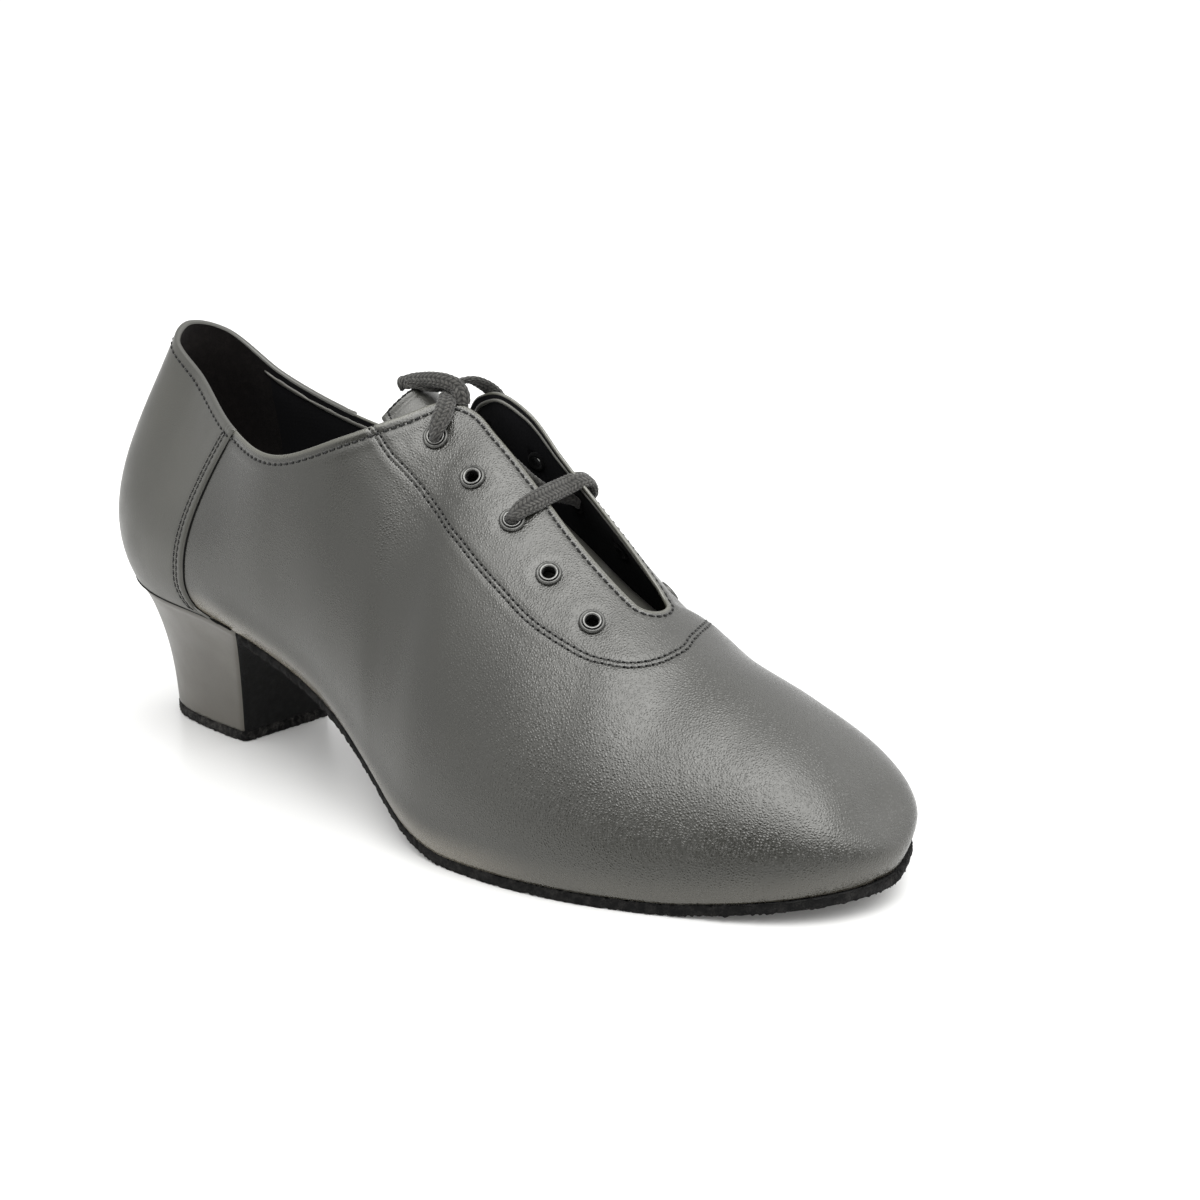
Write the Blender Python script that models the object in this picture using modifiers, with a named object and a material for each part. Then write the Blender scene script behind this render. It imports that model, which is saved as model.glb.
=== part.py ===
"""Right lace-up practice dance shoe with a Cuban heel.

Millimetres in the tables, metres in the scene. x runs from the heel back to the toe,
y from the outer (lateral, -) to the inner (medial, +) side, z up from the floor.
"""

import math

import bmesh
import bpy
import numpy as np
from mathutils import Matrix, Vector

# ------------------------------------------------------------------ driving sizes
ORIGIN = (127.0, -2.2)      # plan point of the tables that becomes the origin
WALL = 1.8                  # leather and lining together
GAP = 0.3                   # clearance between neighbouring solids
SOLE = 2.6                  # suede outsole
SOLE_WELT = 1.5             # sole beyond the upper round the toe
INSOLE = 2.0
INSOLE_INSET = 3.2
TONGUE = 1.4
HEEL_TIP = 3.0
BREAST_TOP = 65.0           # heel front face, at the seat and at the floor
BREAST_LOW = {-1: 50.8, 1: 53.0}       # lateral and medial end of it
HEEL_CORNER = 2.4
EYELET_BORE, EYELET_BARREL, EYELET_FLANGE = 1.5, 2.1, 3.25
EYELET_HOLE = 2.45
LACE = 1.5                  # cord radius

# ------------------------------------------------------------------ tables
# Feather line, where upper meets sole, seen from above.
OUTLINE_COLUMNS = ("x", "lateral", "medial")
OUTLINE = (
    (8.5, 0.0, 0.0),
    (11.0, -13.0, 11.7),
    (19.0, -22.0, 20.0),
    (31.0, -26.7, 24.6),
    (50.0, -28.3, 25.6),
    (72.0, -27.8, 23.4),
    (95.0, -28.2, 20.6),
    (118.0, -33.6, 20.6),
    (140.0, -41.6, 25.0),
    (160.0, -43.9, 31.7),
    (178.0, -42.6, 36.8),
    (196.0, -38.0, 38.8),
    (212.0, -31.6, 37.8),
    (226.0, -25.0, 34.2),
    (238.0, -16.2, 26.2),
    (245.0, -6.9, 17.1),
    (248.0, 4.2, 4.2),
)
# Height of the feather line above the floor: heel seat, arch, tread, toe spring.
FEATHER_COLUMNS = ("x", "z")
FEATHER = (
    (8.0, 47.0),
    (30.0, 43.8),
    (58.0, 40.7),
    (80.0, 34.2),
    (100.0, 25.8),
    (120.0, 14.7),
    (137.0, 6.4),
    (150.0, 3.3),
    (158.0, 3.0),
    (207.0, 3.0),
    (220.0, 4.2),
    (235.0, 6.2),
    (250.0, 8.6),
)
FEATHER_LOW = 3.0           # over the tread
# Sections from heel back to toe tip. Each joins a point of the feather line (share u of
# the half outline) to a point of the top line: the collar, then the slot edge of its
# side, then the ridge of the vamp. Over the lower slot it is the ridge that would be there.
TOP_COLUMNS = ("u", "lat_x", "lat_y", "lat_z", "med_x", "med_y", "med_z")
TOP = (
    (0.000, 19.6, 1.3, 114.7, 19.6, 1.3, 114.7),        # heel back
    (0.065, 22.8, -6.6, 111.3, 22.8, 11.6, 111.7),
    (0.140, 36.5, -10.6, 102.9, 36.0, 19.6, 99.7),
    (0.220, 57.3, -19.6, 93.0, 57.3, 24.5, 90.5),
    (0.320, 80.6, -26.0, 89.1, 80.6, 25.2, 86.6),       # collar low
    (0.420, 101.8, -20.7, 96.1, 101.8, 18.8, 90.6),
    (0.470, 112.5, -11.5, 100.9, 113.0, 13.6, 98.0),
    (0.495, 120.3, -2.6, 104.0, 121.5, 8.6, 104.0),     # flap corner
    (0.515, 126.0, 0.2, 101.9, 128.5, 7.3, 105.8),
    (0.545, 134.0, 0.2, 96.2, 136.2, 9.8, 101.4),
    (0.585, 145.5, 0.3, 87.0, 146.5, 10.5, 91.2),
    (0.625, 158.0, 1.1, 78.1, 158.0, 8.3, 83.0),
    (0.665, 170.5, 1.8, 69.3, 170.5, 4.9, 73.0),
    (0.690, 178.0, 2.2, 63.9, 178.0, 2.9, 65.6),
    (0.703, 181.4, 2.3, 61.6, 181.4, 2.3, 61.6),
    (0.713, 184.0, 2.4, 59.8, 184.0, 2.4, 59.8),        # slot end
    (0.755, 196.0, 3.5, 51.2, 196.0, 3.5, 51.2),
    (0.815, 212.0, 4.6, 44.1, 212.0, 4.6, 44.1),
    (0.880, 230.0, 4.5, 34.5, 230.0, 4.5, 34.5),
    (0.925, 242.6, 4.2, 22.3, 242.6, 4.2, 22.3),
    (0.955, 248.0, 4.2, 8.3, 248.0, 4.2, 8.3),          # toe tip
)
SLOT_END = 15               # row where the two sides join
# Half of the throat slot, measured down each section from its top point.
SLOT_COLUMNS = ("row", "lateral", "medial")
SLOT = ((7, 0.0, 0.0), (9, 0.0, 0.0), (10, 0.6, 0.0), (11, 3.6, 2.6), (12, 5.4, 5.2), (13, 5.7, 5.7), (15, 5.7, 5.7))
SLOT_ROUND = 5.6            # radius of its closed end
# How each section swells: bulge and rise leave the feather line, spread and drop leave
# the top line, along follows the feather line (toe only), turn swings the top from the
# back (0) to the side (90 degrees).
SWELL_COLUMNS = ("row", "bulge_lat", "bulge_med", "rise", "spread_lat", "spread_med",
                 "drop_lat", "drop_med", "along", "turn")
SWELL = (
    (0, 11.4, 11.4, 22.2, 8.5, 8.5, 21.3, 21.3, 0.0, 0.0),
    (1, 11.6, 10.0, 22.0, 9.5, 6.5, 21.5, 21.5, 0.0, 52.0),
    (2, 10.2, 9.3, 20.4, 6.3, 4.8, 19.9, 19.9, 0.0, 90.0),
    (3, 9.4, 9.8, 18.2, 4.8, 4.6, 17.1, 17.1, 0.0, 90.0),
    (4, 9.1, 11.8, 18.0, 5.8, 6.1, 17.8, 17.8, 0.0, 90.0),
    (5, 9.0, 13.9, 20.0, 7.7, 7.8, 18.1, 18.1, 0.0, 90.0),
    (7, 9.0, 13.9, 23.0, 13.0, 7.0, 10.0, 17.0, 0.0, 90.0),
    (9, 8.6, 13.2, 23.4, 16.5, 6.0, 6.0, 16.5, 0.0, 90.0),
    (11, 7.4, 10.8, 21.2, 19.8, 12.5, 3.2, 10.5, 0.0, 90.0),
    (13, 6.2, 8.8, 18.8, 22.6, 20.5, 1.0, 4.0, 0.0, 90.0),
    (15, 5.8, 8.2, 18.0, 23.7, 24.6, 0.0, 0.0, 0.0, 90.0),
    (16, 5.6, 7.5, 16.1, 25.3, 25.7, 0.0, 0.0, 0.0, 90.0),
    (17, 4.2, 7.2, 14.5, 24.7, 25.5, 0.0, 0.0, 1.0, 90.0),
    (18, 3.0, 6.6, 12.7, 20.5, 21.9, 0.0, 0.0, 3.0, 90.0),
    (19, 2.7, 5.1, 8.3, 15.4, 15.1, 0.0, 0.0, 5.0, 90.0),
    (20, 0.0, 0.0, 0.0, 10.4, 9.2, 0.0, 0.0, 10.4, 90.0),
)
# Heel block from the seat to the tip: share of the height, share of the taper.
HEEL_COLUMNS = ("height", "taper")
HEEL = ((1.0, 0.0), (0.93, 0.10), (0.82, 0.30), (0.66, 0.53), (0.45, 0.76), (0.2, 0.93), (0.0, 1.0))
# Foot of the heel; narrow is its width at the back as a share of the width at the breast.
HEEL_FOOT = dict(back=9.5, lateral=-14.2, medial=18.0, narrow=0.79)
# Eyelets from the collar down: run along the slot edge from the flap corner, distance behind it.
EYELET_COLUMNS = ("along", "back")
EYELETS = ((1.0, 10.4), (16.6, 13.4), (33.4, 12.2), (50.5, 12.6), (67.8, 12.4))
# Tongue leaf, vamp end first.
TONGUE_COLUMNS = ("x", "y", "z", "half_width", "droop")
TONGUE_ROWS = (
    (199.0, 3.0, 45.3, 8.5, 2.2),
    (184.0, 2.5, 54.0, 12.0, 5.0),
    (165.0, 2.0, 65.0, 13.5, 7.0),
    (147.0, 1.0, 78.0, 14.0, 8.0),
    (130.0, 1.0, 88.0, 13.2, 8.6),
    (120.0, 0.8, 94.4, 12.4, 9.2),
    (112.0, -0.2, 100.2, 12.2, 9.2),
    (106.5, -1.0, 104.2, 11.2, 8.0),
    (104.6, -1.0, 105.4, 8.5, 4.4),
)


# ------------------------------------------------------------------ curves
def column(rows, names, name):
    return np.array([row[names.index(name)] for row in rows], float)


def spline(ts, vs, t, level=False, start=None):
    """Smooth curve through the rows of a table; level keeps flat runs flat."""
    ts, vs, t = np.asarray(ts, float), np.asarray(vs, float), np.asarray(t, float)
    h = np.diff(ts)
    d = np.diff(vs) / h
    m = np.zeros_like(vs)
    m[1:-1] = (d[:-1] * h[1:] + d[1:] * h[:-1]) / (h[:-1] + h[1:])
    if level:
        m[1:-1][d[:-1] * d[1:] <= 0] = 0.0
    m[0], m[-1] = 1.5 * d[0] - 0.5 * m[1], 1.5 * d[-1] - 0.5 * m[-2]
    if start is not None:
        m[0] = start
    k = np.clip(np.searchsorted(ts, t, side="right") - 1, 0, len(h) - 1)
    s = (t - ts[k]) / h[k]
    return (vs[k] * (1 + 2 * s) * (1 - s) ** 2 + h[k] * m[k] * s * (1 - s) ** 2
            + vs[k + 1] * s * s * (3 - 2 * s) + h[k] * m[k + 1] * s * s * (s - 1))


def closed_spline(points, steps=60):
    """Twice-smooth closed curve through plan points, as a fine polyline from the first."""
    p = np.asarray(points, float)
    n = len(p)
    h = np.sqrt(np.linalg.norm(np.roll(p, -1, 0) - p, axis=1))
    a = np.zeros((n, n))
    b = np.zeros_like(p)
    for i in range(n):
        q, r = h[i - 1], h[i]
        a[i, i - 1] += q
        a[i, i] += 2 * (q + r)
        a[i, (i + 1) % n] += r
        b[i] = 6 * ((p[(i + 1) % n] - p[i]) / r - (p[i] - p[i - 1]) / q)
    c = np.linalg.solve(a, b)
    out = []
    for i in range(n):
        j = (i + 1) % n
        for s in np.arange(steps) / steps:
            t = 1 - s
            out.append(t * p[i] + s * p[j]
                       + h[i] ** 2 / 6 * ((t ** 3 - t) * c[i] + (s ** 3 - s) * c[j]))
    out.append(p[0])
    return np.array(out)


def arc(points):
    return np.concatenate([[0.0], np.cumsum(np.linalg.norm(np.diff(points, axis=0), axis=1))])


OUTLINE_STEPS = 60
_rows = np.array(OUTLINE)
_loop = closed_spline(np.vstack([_rows[:, [0, 1]], _rows[::-1][1:-1][:, [0, 2]]]), OUTLINE_STEPS)
_tip = (len(OUTLINE) - 1) * OUTLINE_STEPS
_halves = {-1: _loop[: _tip + 1], 1: _loop[_tip:][::-1]}


def outline(u, side, inset=0.0):
    """Plan point of the feather line at share u of one half, heel back to toe tip."""
    half = _halves[side]
    length = arc(half)
    s = np.asarray(u, float) * length[-1]
    p = np.stack([np.interp(s, length, half[:, k]) for k in (0, 1)], -1)
    e = 0.4
    q = [np.stack([np.interp(np.clip(s + d, 0, length[-1]), length, half[:, k]) for k in (0, 1)], -1)
         for d in (-e, e)]
    t = q[1] - q[0]
    t /= np.linalg.norm(t, axis=-1, keepdims=True)
    n = np.stack([-t[..., 1], t[..., 0]], -1) * side
    return p - n * inset, t, n


def feather_z(x):
    return spline(column(FEATHER, FEATHER_COLUMNS, "x"), column(FEATHER, FEATHER_COLUMNS, "z"), x, level=True)


def row_stations():
    """Place of each section along the shoe: mean run of the feather and top lines."""
    u = column(TOP, TOP_COLUMNS, "u")
    run = np.zeros(len(TOP))
    for side, name in ((-1, "lat"), (1, "med")):
        top = np.stack([column(TOP, TOP_COLUMNS, f"{name}_{k}") for k in "xyz"], -1)
        run[1:] += np.linalg.norm(np.diff(top, axis=0), axis=1)
        run[1:] += np.linalg.norm(np.diff(outline(u, side)[0], axis=0), axis=1)
    return np.cumsum(run) / 4


STATION = row_stations()


def top_point(a, side):
    """Top line of one side; past the slot end both sides follow the lateral row."""
    a = np.asarray(a, float)
    out = []
    for k in "xyz":
        start = None if k == "y" else 0.0       # level across the heel back
        v = spline(STATION, column(TOP, TOP_COLUMNS, f"lat_{k}"), a, start=start)
        if side > 0:
            med = spline(STATION, column(TOP, TOP_COLUMNS, f"med_{k}"), a, start=start)
            v = np.where(a < STATION[SLOT_END], med, v)
        out.append(v)
    return np.stack(out, -1)


def swell(a, name):
    rows = column(SWELL, SWELL_COLUMNS, "row").astype(int)
    return spline(STATION[rows], column(SWELL, SWELL_COLUMNS, name), a)


def shell(a, r, side):
    """Outer face of the upper: station a along the shoe, share r from feather to top."""
    a = np.asarray(a, float)
    r = np.asarray(r, float)[..., None]
    name = "lat" if side < 0 else "med"
    u = spline(STATION, column(TOP, TOP_COLUMNS, "u"), a)
    p, t, n = outline(u, side)
    low = np.concatenate([p, feather_z(p[..., 0])[..., None]], -1)
    high = top_point(a, side)
    turn = np.radians(swell(a, "turn"))
    flat = np.zeros_like(a)[..., None]
    up = np.array([0.0, 0.0, 1.0])
    out_low = np.concatenate([n, flat], -1)
    along = np.concatenate([t, flat], -1)
    out_high = np.stack([-np.cos(turn), side * np.sin(turn), 0 * a], -1)
    h1 = (low + out_low * swell(a, f"bulge_{name}")[..., None] + up * swell(a, "rise")[..., None]
          + along * swell(a, "along")[..., None])
    h2 = (high + out_high * swell(a, f"spread_{name}")[..., None]
          - up * swell(a, f"drop_{name}")[..., None])
    return low * (1 - r) ** 3 + 3 * h1 * r * (1 - r) ** 2 + 3 * h2 * r * r * (1 - r) + high * r ** 3


def slot_edge(a, side, back=0.0):
    """Share r at the edge of the upper, or at a distance behind it, at one station."""
    rows = column(SLOT, SLOT_COLUMNS, "row").astype(int)
    end = STATION[SLOT_END]
    half = 0.0
    if STATION[7] < a < end:
        half = float(spline(STATION[rows], column(SLOT, SLOT_COLUMNS, "lateral" if side < 0 else "medial"), a, True))
        half *= math.sqrt(max(0.0, 1 - max(0.0, (a - end + SLOT_ROUND) / SLOT_ROUND) ** 2))
    r = np.linspace(1, 0.4, 241)
    return float(np.interp(half + back, arc(shell(np.full_like(r, a), r, side)), r))


def normal(a, r, side):
    """Outward direction of the shell."""
    e = 1e-3
    r1, r0 = min(1.0, r + e), max(0.0, r - e)
    da = shell(a + 0.05, r, side) - shell(a - 0.05, r, side)
    dr = shell(a, r1, side) - shell(a, r0, side)
    n = np.cross(da, dr) * (1 if side < 0 else -1)
    return n / np.linalg.norm(n)


# ------------------------------------------------------------------ scene helpers
def place(p):
    return Vector(((p[0] - ORIGIN[0]) / 1000, (p[1] - ORIGIN[1]) / 1000, p[2] / 1000))


def material(name, colour, roughness, metallic=0.0):
    made = bpy.data.materials.new(name)
    made.use_nodes = True
    shader = made.node_tree.nodes["Principled BSDF"]
    shader.inputs["Base Color"].default_value = (*colour, 1.0)
    shader.inputs["Roughness"].default_value = roughness
    shader.inputs["Metallic"].default_value = metallic
    return made


def add_mesh(bm, name, collection, finish):
    mesh = bpy.data.meshes.new(name)
    bm.to_mesh(mesh)
    bm.free()
    mesh.shade_smooth()
    obj = bpy.data.objects.new(name, mesh)
    collection.objects.link(obj)
    if finish:
        obj.data.materials.append(finish)
    return obj


def solidify(obj, millimetres, offset):
    mod = obj.modifiers.new("thickness", "SOLIDIFY")
    mod.thickness = millimetres / 1000
    mod.offset = offset
    mod.use_even_offset = True
    mod.use_quality_normals = True
    return mod


def grid_faces(bm, grid, flip=False):
    """Quads between neighbouring rows of vertices; shared ends become triangles."""
    for a, b in zip(grid[:-1], grid[1:]):
        for j in range(len(a) - 1):
            ring = [a[j], b[j], b[j + 1], a[j + 1]]
            ring = [v for k, v in enumerate(ring) if v is not ring[k - 1]]
            if len(ring) >= 3:
                bm.faces.new(ring[::-1] if flip else ring)


# ------------------------------------------------------------------ the pieces
def make_upper(collection, cutters, finish):
    step_a, rows_r = 7.6, 12
    stations = []
    for s, e in zip(STATION[:-1], STATION[1:]):
        n = max(1, round((e - s) / step_a))
        stations += list(s + (e - s) * np.arange(n) / n)
    stations.append(STATION[-1])
    stations = sorted(stations + [STATION[SLOT_END] - f * SLOT_ROUND for f in (0.1, 0.5)])
    shares = np.linspace(0, 1, rows_r + 1)
    bm = bmesh.new()
    grids = {}
    for side in (-1, 1):
        grid = []
        for i, a in enumerate(stations):
            line = []
            edge = slot_edge(a, side)
            for j, r in enumerate(shares):
                shared = side > 0 and (i == 0 or (j == rows_r and a >= STATION[SLOT_END] - 1e-6))
                line.append(grids[-1][i][j] if shared
                            else bm.verts.new(place(shell(a, r * edge, side))))
            grid.append(line)
        grids[side] = grid
        grid_faces(bm, grid, flip=side > 0)
    obj = add_mesh(bm, "upper", collection, finish)
    solidify(obj, WALL, -1.0)
    for side in (-1, 1):
        for k in range(5):
            centre, axis = eyelet_place(k, side)
            bm = bmesh.new()
            bmesh.ops.create_cone(bm, cap_ends=True, segments=10, radius1=EYELET_HOLE / 1000,
                                  radius2=EYELET_HOLE / 1000, depth=0.010)
            cutter = add_mesh(bm, f"cut_eyelet_{'lateral' if side < 0 else 'medial'}_{k + 1}", cutters, None)
            cutter.matrix_world = frame_at(centre, axis)
            cutter.hide_render = True
            cutter.display_type = "WIRE"
            cut = obj.modifiers.new(cutter.name, "BOOLEAN")
            cut.operation = "DIFFERENCE"
            cut.object = cutter
    return obj


def eyelet_place(k, side):
    """Centre on the outer face and outward axis of the k-th eyelet from the collar."""
    a = np.linspace(STATION[7], STATION[SLOT_END] - 1, 160)
    edge = np.array([shell(s, slot_edge(s, side), side) for s in a])
    along, back = EYELETS[k]
    a = float(np.interp(along, arc(edge), a))
    r = slot_edge(a, side, back)
    return shell(a, r, side), normal(a, r, side)


def frame_at(centre, axis):
    turn = Vector(axis).to_track_quat("Z", "Y").to_matrix().to_4x4()
    return Matrix.Translation(place(centre)) @ turn


def make_eyelet(name, collection, finish, centre, axis):
    """Flanged ring: profile in millimetres (radius, height over the leather face)."""
    back = -WALL - 2 * GAP
    flange, barrel, bore = EYELET_FLANGE, EYELET_BARREL, EYELET_BORE
    profile = ((bore, 1.0), (bore + 0.75, 1.25), (flange - 0.4, 0.95), (flange, 0.4), (barrel, 0.4),
               (barrel, back), (flange - 0.7, back), (flange - 0.8, back - 0.5), (bore, back - 0.6))
    bm = bmesh.new()
    verts = [bm.verts.new((r / 1000, 0, z / 1000)) for r, z in profile]
    for a, b in zip(verts, verts[1:] + verts[:1]):
        bm.edges.new((a, b))
    obj = add_mesh(bm, name, collection, finish)
    spin = obj.modifiers.new("turned", "SCREW")
    spin.axis = "Z"
    spin.angle = 2 * math.pi
    spin.screw_offset = 0
    spin.steps = spin.render_steps = 12
    spin.use_merge_vertices = True
    spin.merge_threshold = 1e-6
    obj.matrix_world = frame_at(centre, axis)
    return obj


def ease(x, low, high):
    t = min(1.0, max(0.0, (x - low) / (high - low)))
    return t * t * (3 - 2 * t)


def sole_rungs(u, inset, z_shift, across, welt=0.0, sink=0.0):
    """Rows of points from the lateral to the medial edge, on the feather surface.

    Round the toe the leaf stands out by welt and lies lower by sink.
    """
    rungs = []
    for s in u:
        left = outline(s, -1, inset - welt * ease(s, 0.9, 1.0))[0]
        right = outline(s, 1, inset - welt * ease(s, 0.82, 0.94))[0]
        ends = abs(left[1] - right[1]) < 0.4
        row = []
        for f in np.linspace(0, 1, across + 1):
            p = left * (1 - f) + right * f
            if ends:
                p = (left + right) / 2
            row.append((p[0], p[1], float(feather_z(p[0])) + z_shift - sink * ease(s, 0.88, 0.95)))
        rungs.append((row, ends))
    return rungs


def add_leaf(bm, rungs):
    grid = []
    for row, ends in rungs:
        if ends:
            grid.append([bm.verts.new(place(row[0]))] * len(row))
        else:
            grid.append([bm.verts.new(place(p)) for p in row])
    grid_faces(bm, grid, flip=False)
    return grid


def u_at(x, side):
    half = _halves[side]
    u = np.linspace(0, 0.9, 2000)
    return float(np.interp(x, outline(u, side)[0][:, 0], u))


def make_outsole(collection, finish):
    start = 0.5 * (u_at(BREAST_TOP + 1.2, -1) + u_at(BREAST_TOP + 1.2, 1))
    u = np.concatenate([np.linspace(start, 0.9, 30), [0.925, 0.948, 0.968, 0.985, 1.0]])
    bm = bmesh.new()
    add_leaf(bm, sole_rungs(u, 0.0, SOLE - FEATHER_LOW, 4, SOLE_WELT, 0.5))
    bmesh.ops.recalc_face_normals(bm, faces=bm.faces)
    obj = add_mesh(bm, "outsole", collection, finish)
    face_up(obj)
    solidify(obj, SOLE, -1.0)
    return obj


def make_insole(collection, finish):
    u = np.concatenate([[0.0, 0.015, 0.032, 0.052, 0.075, 0.1], np.linspace(0.13, 0.9, 24),
                        [0.925, 0.948, 0.968, 0.985, 1.0]])
    bm = bmesh.new()
    add_leaf(bm, sole_rungs(u, INSOLE_INSET, GAP, 4))
    obj = add_mesh(bm, "insole", collection, finish)
    face_up(obj)
    solidify(obj, INSOLE, 1.0)
    return obj


def face_up(obj):
    """Turns a leaf so that its faces look upwards."""
    if sum(p.normal.z * p.area for p in obj.data.polygons) < 0:
        obj.data.flip_normals()


def heel_outline(share, count=17):
    """Plan outline of the heel at one taper share: 0 at the seat, 1 at the tip.

    Points run from the lateral front corner round the back to the medial front corner,
    then along the breast.
    """
    foot = HEEL_FOOT
    points = []
    u_end = {side: u_at(BREAST_TOP - HEEL_CORNER * 0.9, side) for side in (-1, 1)}
    path = [(-1, s) for s in np.linspace(1, 0, count)] + [(1, s) for s in np.linspace(0, 1, count)[1:]]
    mid = (foot["lateral"] + foot["medial"]) / 2
    for side, s in path:
        seat = outline(u_end[side] * s, side, 0.2)[0]
        half = (foot["medial"] - foot["lateral"]) / 2
        # the foot is the seat shape drawn in about its own centre line
        fx = (seat[0] - 8.7) / (BREAST_TOP - HEEL_CORNER * 0.9 - 8.7)
        x = foot["back"] + fx * (BREAST_LOW[side] - HEEL_CORNER * 0.9 - foot["back"])
        y = mid + half * (seat[1] + 1.4) / 27.0 * (foot["narrow"] + (1 - foot["narrow"]) * fx)
        points.append(seat * (1 - share) + np.array((x, y)) * share)
    lat, med = points[0], points[-1]
    corner = []
    for start, sign in ((med, 1), (lat, -1)):
        c = HEEL_CORNER
        front = BREAST_TOP * (1 - share) + BREAST_LOW[sign] * share
        ring = []
        for t in (0.35, 0.7, 1.0):
            ang = t * math.pi / 2
            ring.append((start[0] + (front - start[0]) * math.sin(ang),
                         start[1] - sign * c * (1 - math.cos(ang))))
        corner.append(ring)
    points += [np.array(p) for p in corner[0]] + [np.array(p) for p in corner[1][::-1]]
    return np.array(points)


def make_heel(collection, finish):
    rings = []
    bm = bmesh.new()
    for height, taper in HEEL:
        ring = []
        for p in heel_outline(taper):
            seat = heel_outline(0.0)
            ring.append(p)
        rings.append((height, np.array(ring)))
    seat = rings[0][1]
    low = HEEL_TIP + GAP
    grid = []
    for height, ring in rings:
        line = []
        for p, q in zip(ring, seat):
            top = float(feather_z(q[0])) - GAP
            line.append(bm.verts.new(place((p[0], p[1], low + (top - low) * height))))
        line.append(line[0])
        grid.append(line)
    grid_faces(bm, grid)
    caps = []
    for line in (grid[0], grid[-1]):
        ring = line[:-1]
        n = len(ring)
        # rungs straight across, front corners last
        back = (n - 6 - 1) // 2
        pairs = [(ring[back - k], ring[back + k]) for k in range(back + 1)]
        tail = ring[n - 6:]
        pairs += [(tail[5 - k], tail[k]) for k in range(3)]
        caps.append([[a, b] for a, b in pairs])
    for cap in caps:
        grid_faces(bm, cap)
    bmesh.ops.recalc_face_normals(bm, faces=bm.faces)
    return add_mesh(bm, "heel", collection, finish)


def make_heel_tip(collection, finish):
    curve = bpy.data.curves.new("heel_tip", "CURVE")
    curve.dimensions = "2D"
    curve.fill_mode = "BOTH"
    curve.extrude = HEEL_TIP / 2000
    points = heel_outline(1.0)
    line = curve.splines.new("POLY")
    line.points.add(len(points) - 1)
    for p, q in zip(line.points, points):
        v = place((q[0], q[1], 0))
        p.co = (v.x, v.y, 0, 1)
    line.use_cyclic_u = True
    curve.materials.append(finish)
    obj = bpy.data.objects.new("heel_tip", curve)
    obj.location.z = HEEL_TIP / 2000
    collection.objects.link(obj)
    return obj


def make_tongue(collection, finish):
    run = np.arange(len(TONGUE_ROWS), dtype=float)
    t = np.concatenate([np.linspace(0, run[-1] - 1, 15), run[-1] - 1 + np.array([0.4, 0.75, 1.0])])
    col = {n: spline(run, column(TONGUE_ROWS, TONGUE_COLUMNS, n), t) for n in TONGUE_COLUMNS}
    bm = bmesh.new()
    grid = []
    for k in range(len(t)):
        line = []
        for f in np.linspace(-1, 1, 9):
            line.append(bm.verts.new(place((col["x"][k], col["y"][k] + f * col["half_width"][k],
                                            col["z"][k] - col["droop"][k] * f * f))))
        grid.append(line)
    grid_faces(bm, grid)
    obj = add_mesh(bm, "tongue", collection, finish)
    face_up(obj)
    solidify(obj, TONGUE, -1.0)
    return obj


def make_cord(name, collection, finish, points, radius=LACE, sides=2, step=3.0):
    """Round cord along a smooth curve through the route's points (millimetres)."""
    p = np.array(points, float)
    s = arc(p)
    n = max(4, int(s[-1] / step))
    q = np.stack([spline(s, p[:, k], np.linspace(0, s[-1], n + 1)) for k in range(3)], -1)
    curve = bpy.data.curves.new(name, "CURVE")
    curve.dimensions = "3D"
    curve.bevel_depth = radius / 1000
    curve.bevel_resolution = sides
    curve.use_fill_caps = True
    line = curve.splines.new("POLY")
    line.points.add(len(q) - 1)
    for a, b in zip(line.points, q):
        a.co = (*place(b), 1)
    curve.materials.append(finish)
    obj = bpy.data.objects.new(name, curve)
    collection.objects.link(obj)
    return obj


def lace_routes():
    """Route of each stretch of the lace, outside the leather."""
    over = {}
    for side in (-1, 1):
        for k in (0, 2):
            c, n = eyelet_place(k, side)
            over[side, k] = (c + n * 3.1, n)
    a3, b3 = over[-1, 2][0], over[1, 2][0]
    bar = (a3, a3 + np.array((1.2, 3.6, 2.2)), (151.0, -1.6, 85.6), (152.8, 4.0, 87.4), (154.0, 9.4, 88.2),
           (154.0, 13.0, 87.2), b3 + np.array((1.6, 0.7, 3.2)), b3)
    a1, b1 = over[-1, 0][0], over[1, 0][0]
    lateral = (a1, a1 + np.array((-1.2, 2.2, 4.0)), (119.0, -5.0, 106.2), (118.6, -1.4, 106.6))
    medial = ((121.6, 6.9, 107.2), (123.6, 9.8, 107.6), (124.6, 12.4, 106.0), b1 + np.array((0.2, 0.7, 4.0)), b1)
    loop = ((117.0, 3.0, 109.2), (113.6, 1.8, 111.0), (109.4, 0.0, 110.6), (105.6, -1.6, 109.0),
            (102.4, -3.2, 106.0), (101.2, -4.2, 102.0), (101.2, -5.0, 98.4))
    return dict(bar=bar, lateral=lateral, medial=medial, loop=loop)


def make_knot(collection, finish):
    bm = bmesh.new()
    bmesh.ops.create_uvsphere(bm, u_segments=12, v_segments=8, radius=1.0)
    bmesh.ops.scale(bm, vec=(0.0036, 0.0038, 0.0030), verts=bm.verts)
    obj = add_mesh(bm, "lace_knot", collection, finish)
    obj.location = place((119.8, 3.0, 106.6))
    return obj


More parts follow.
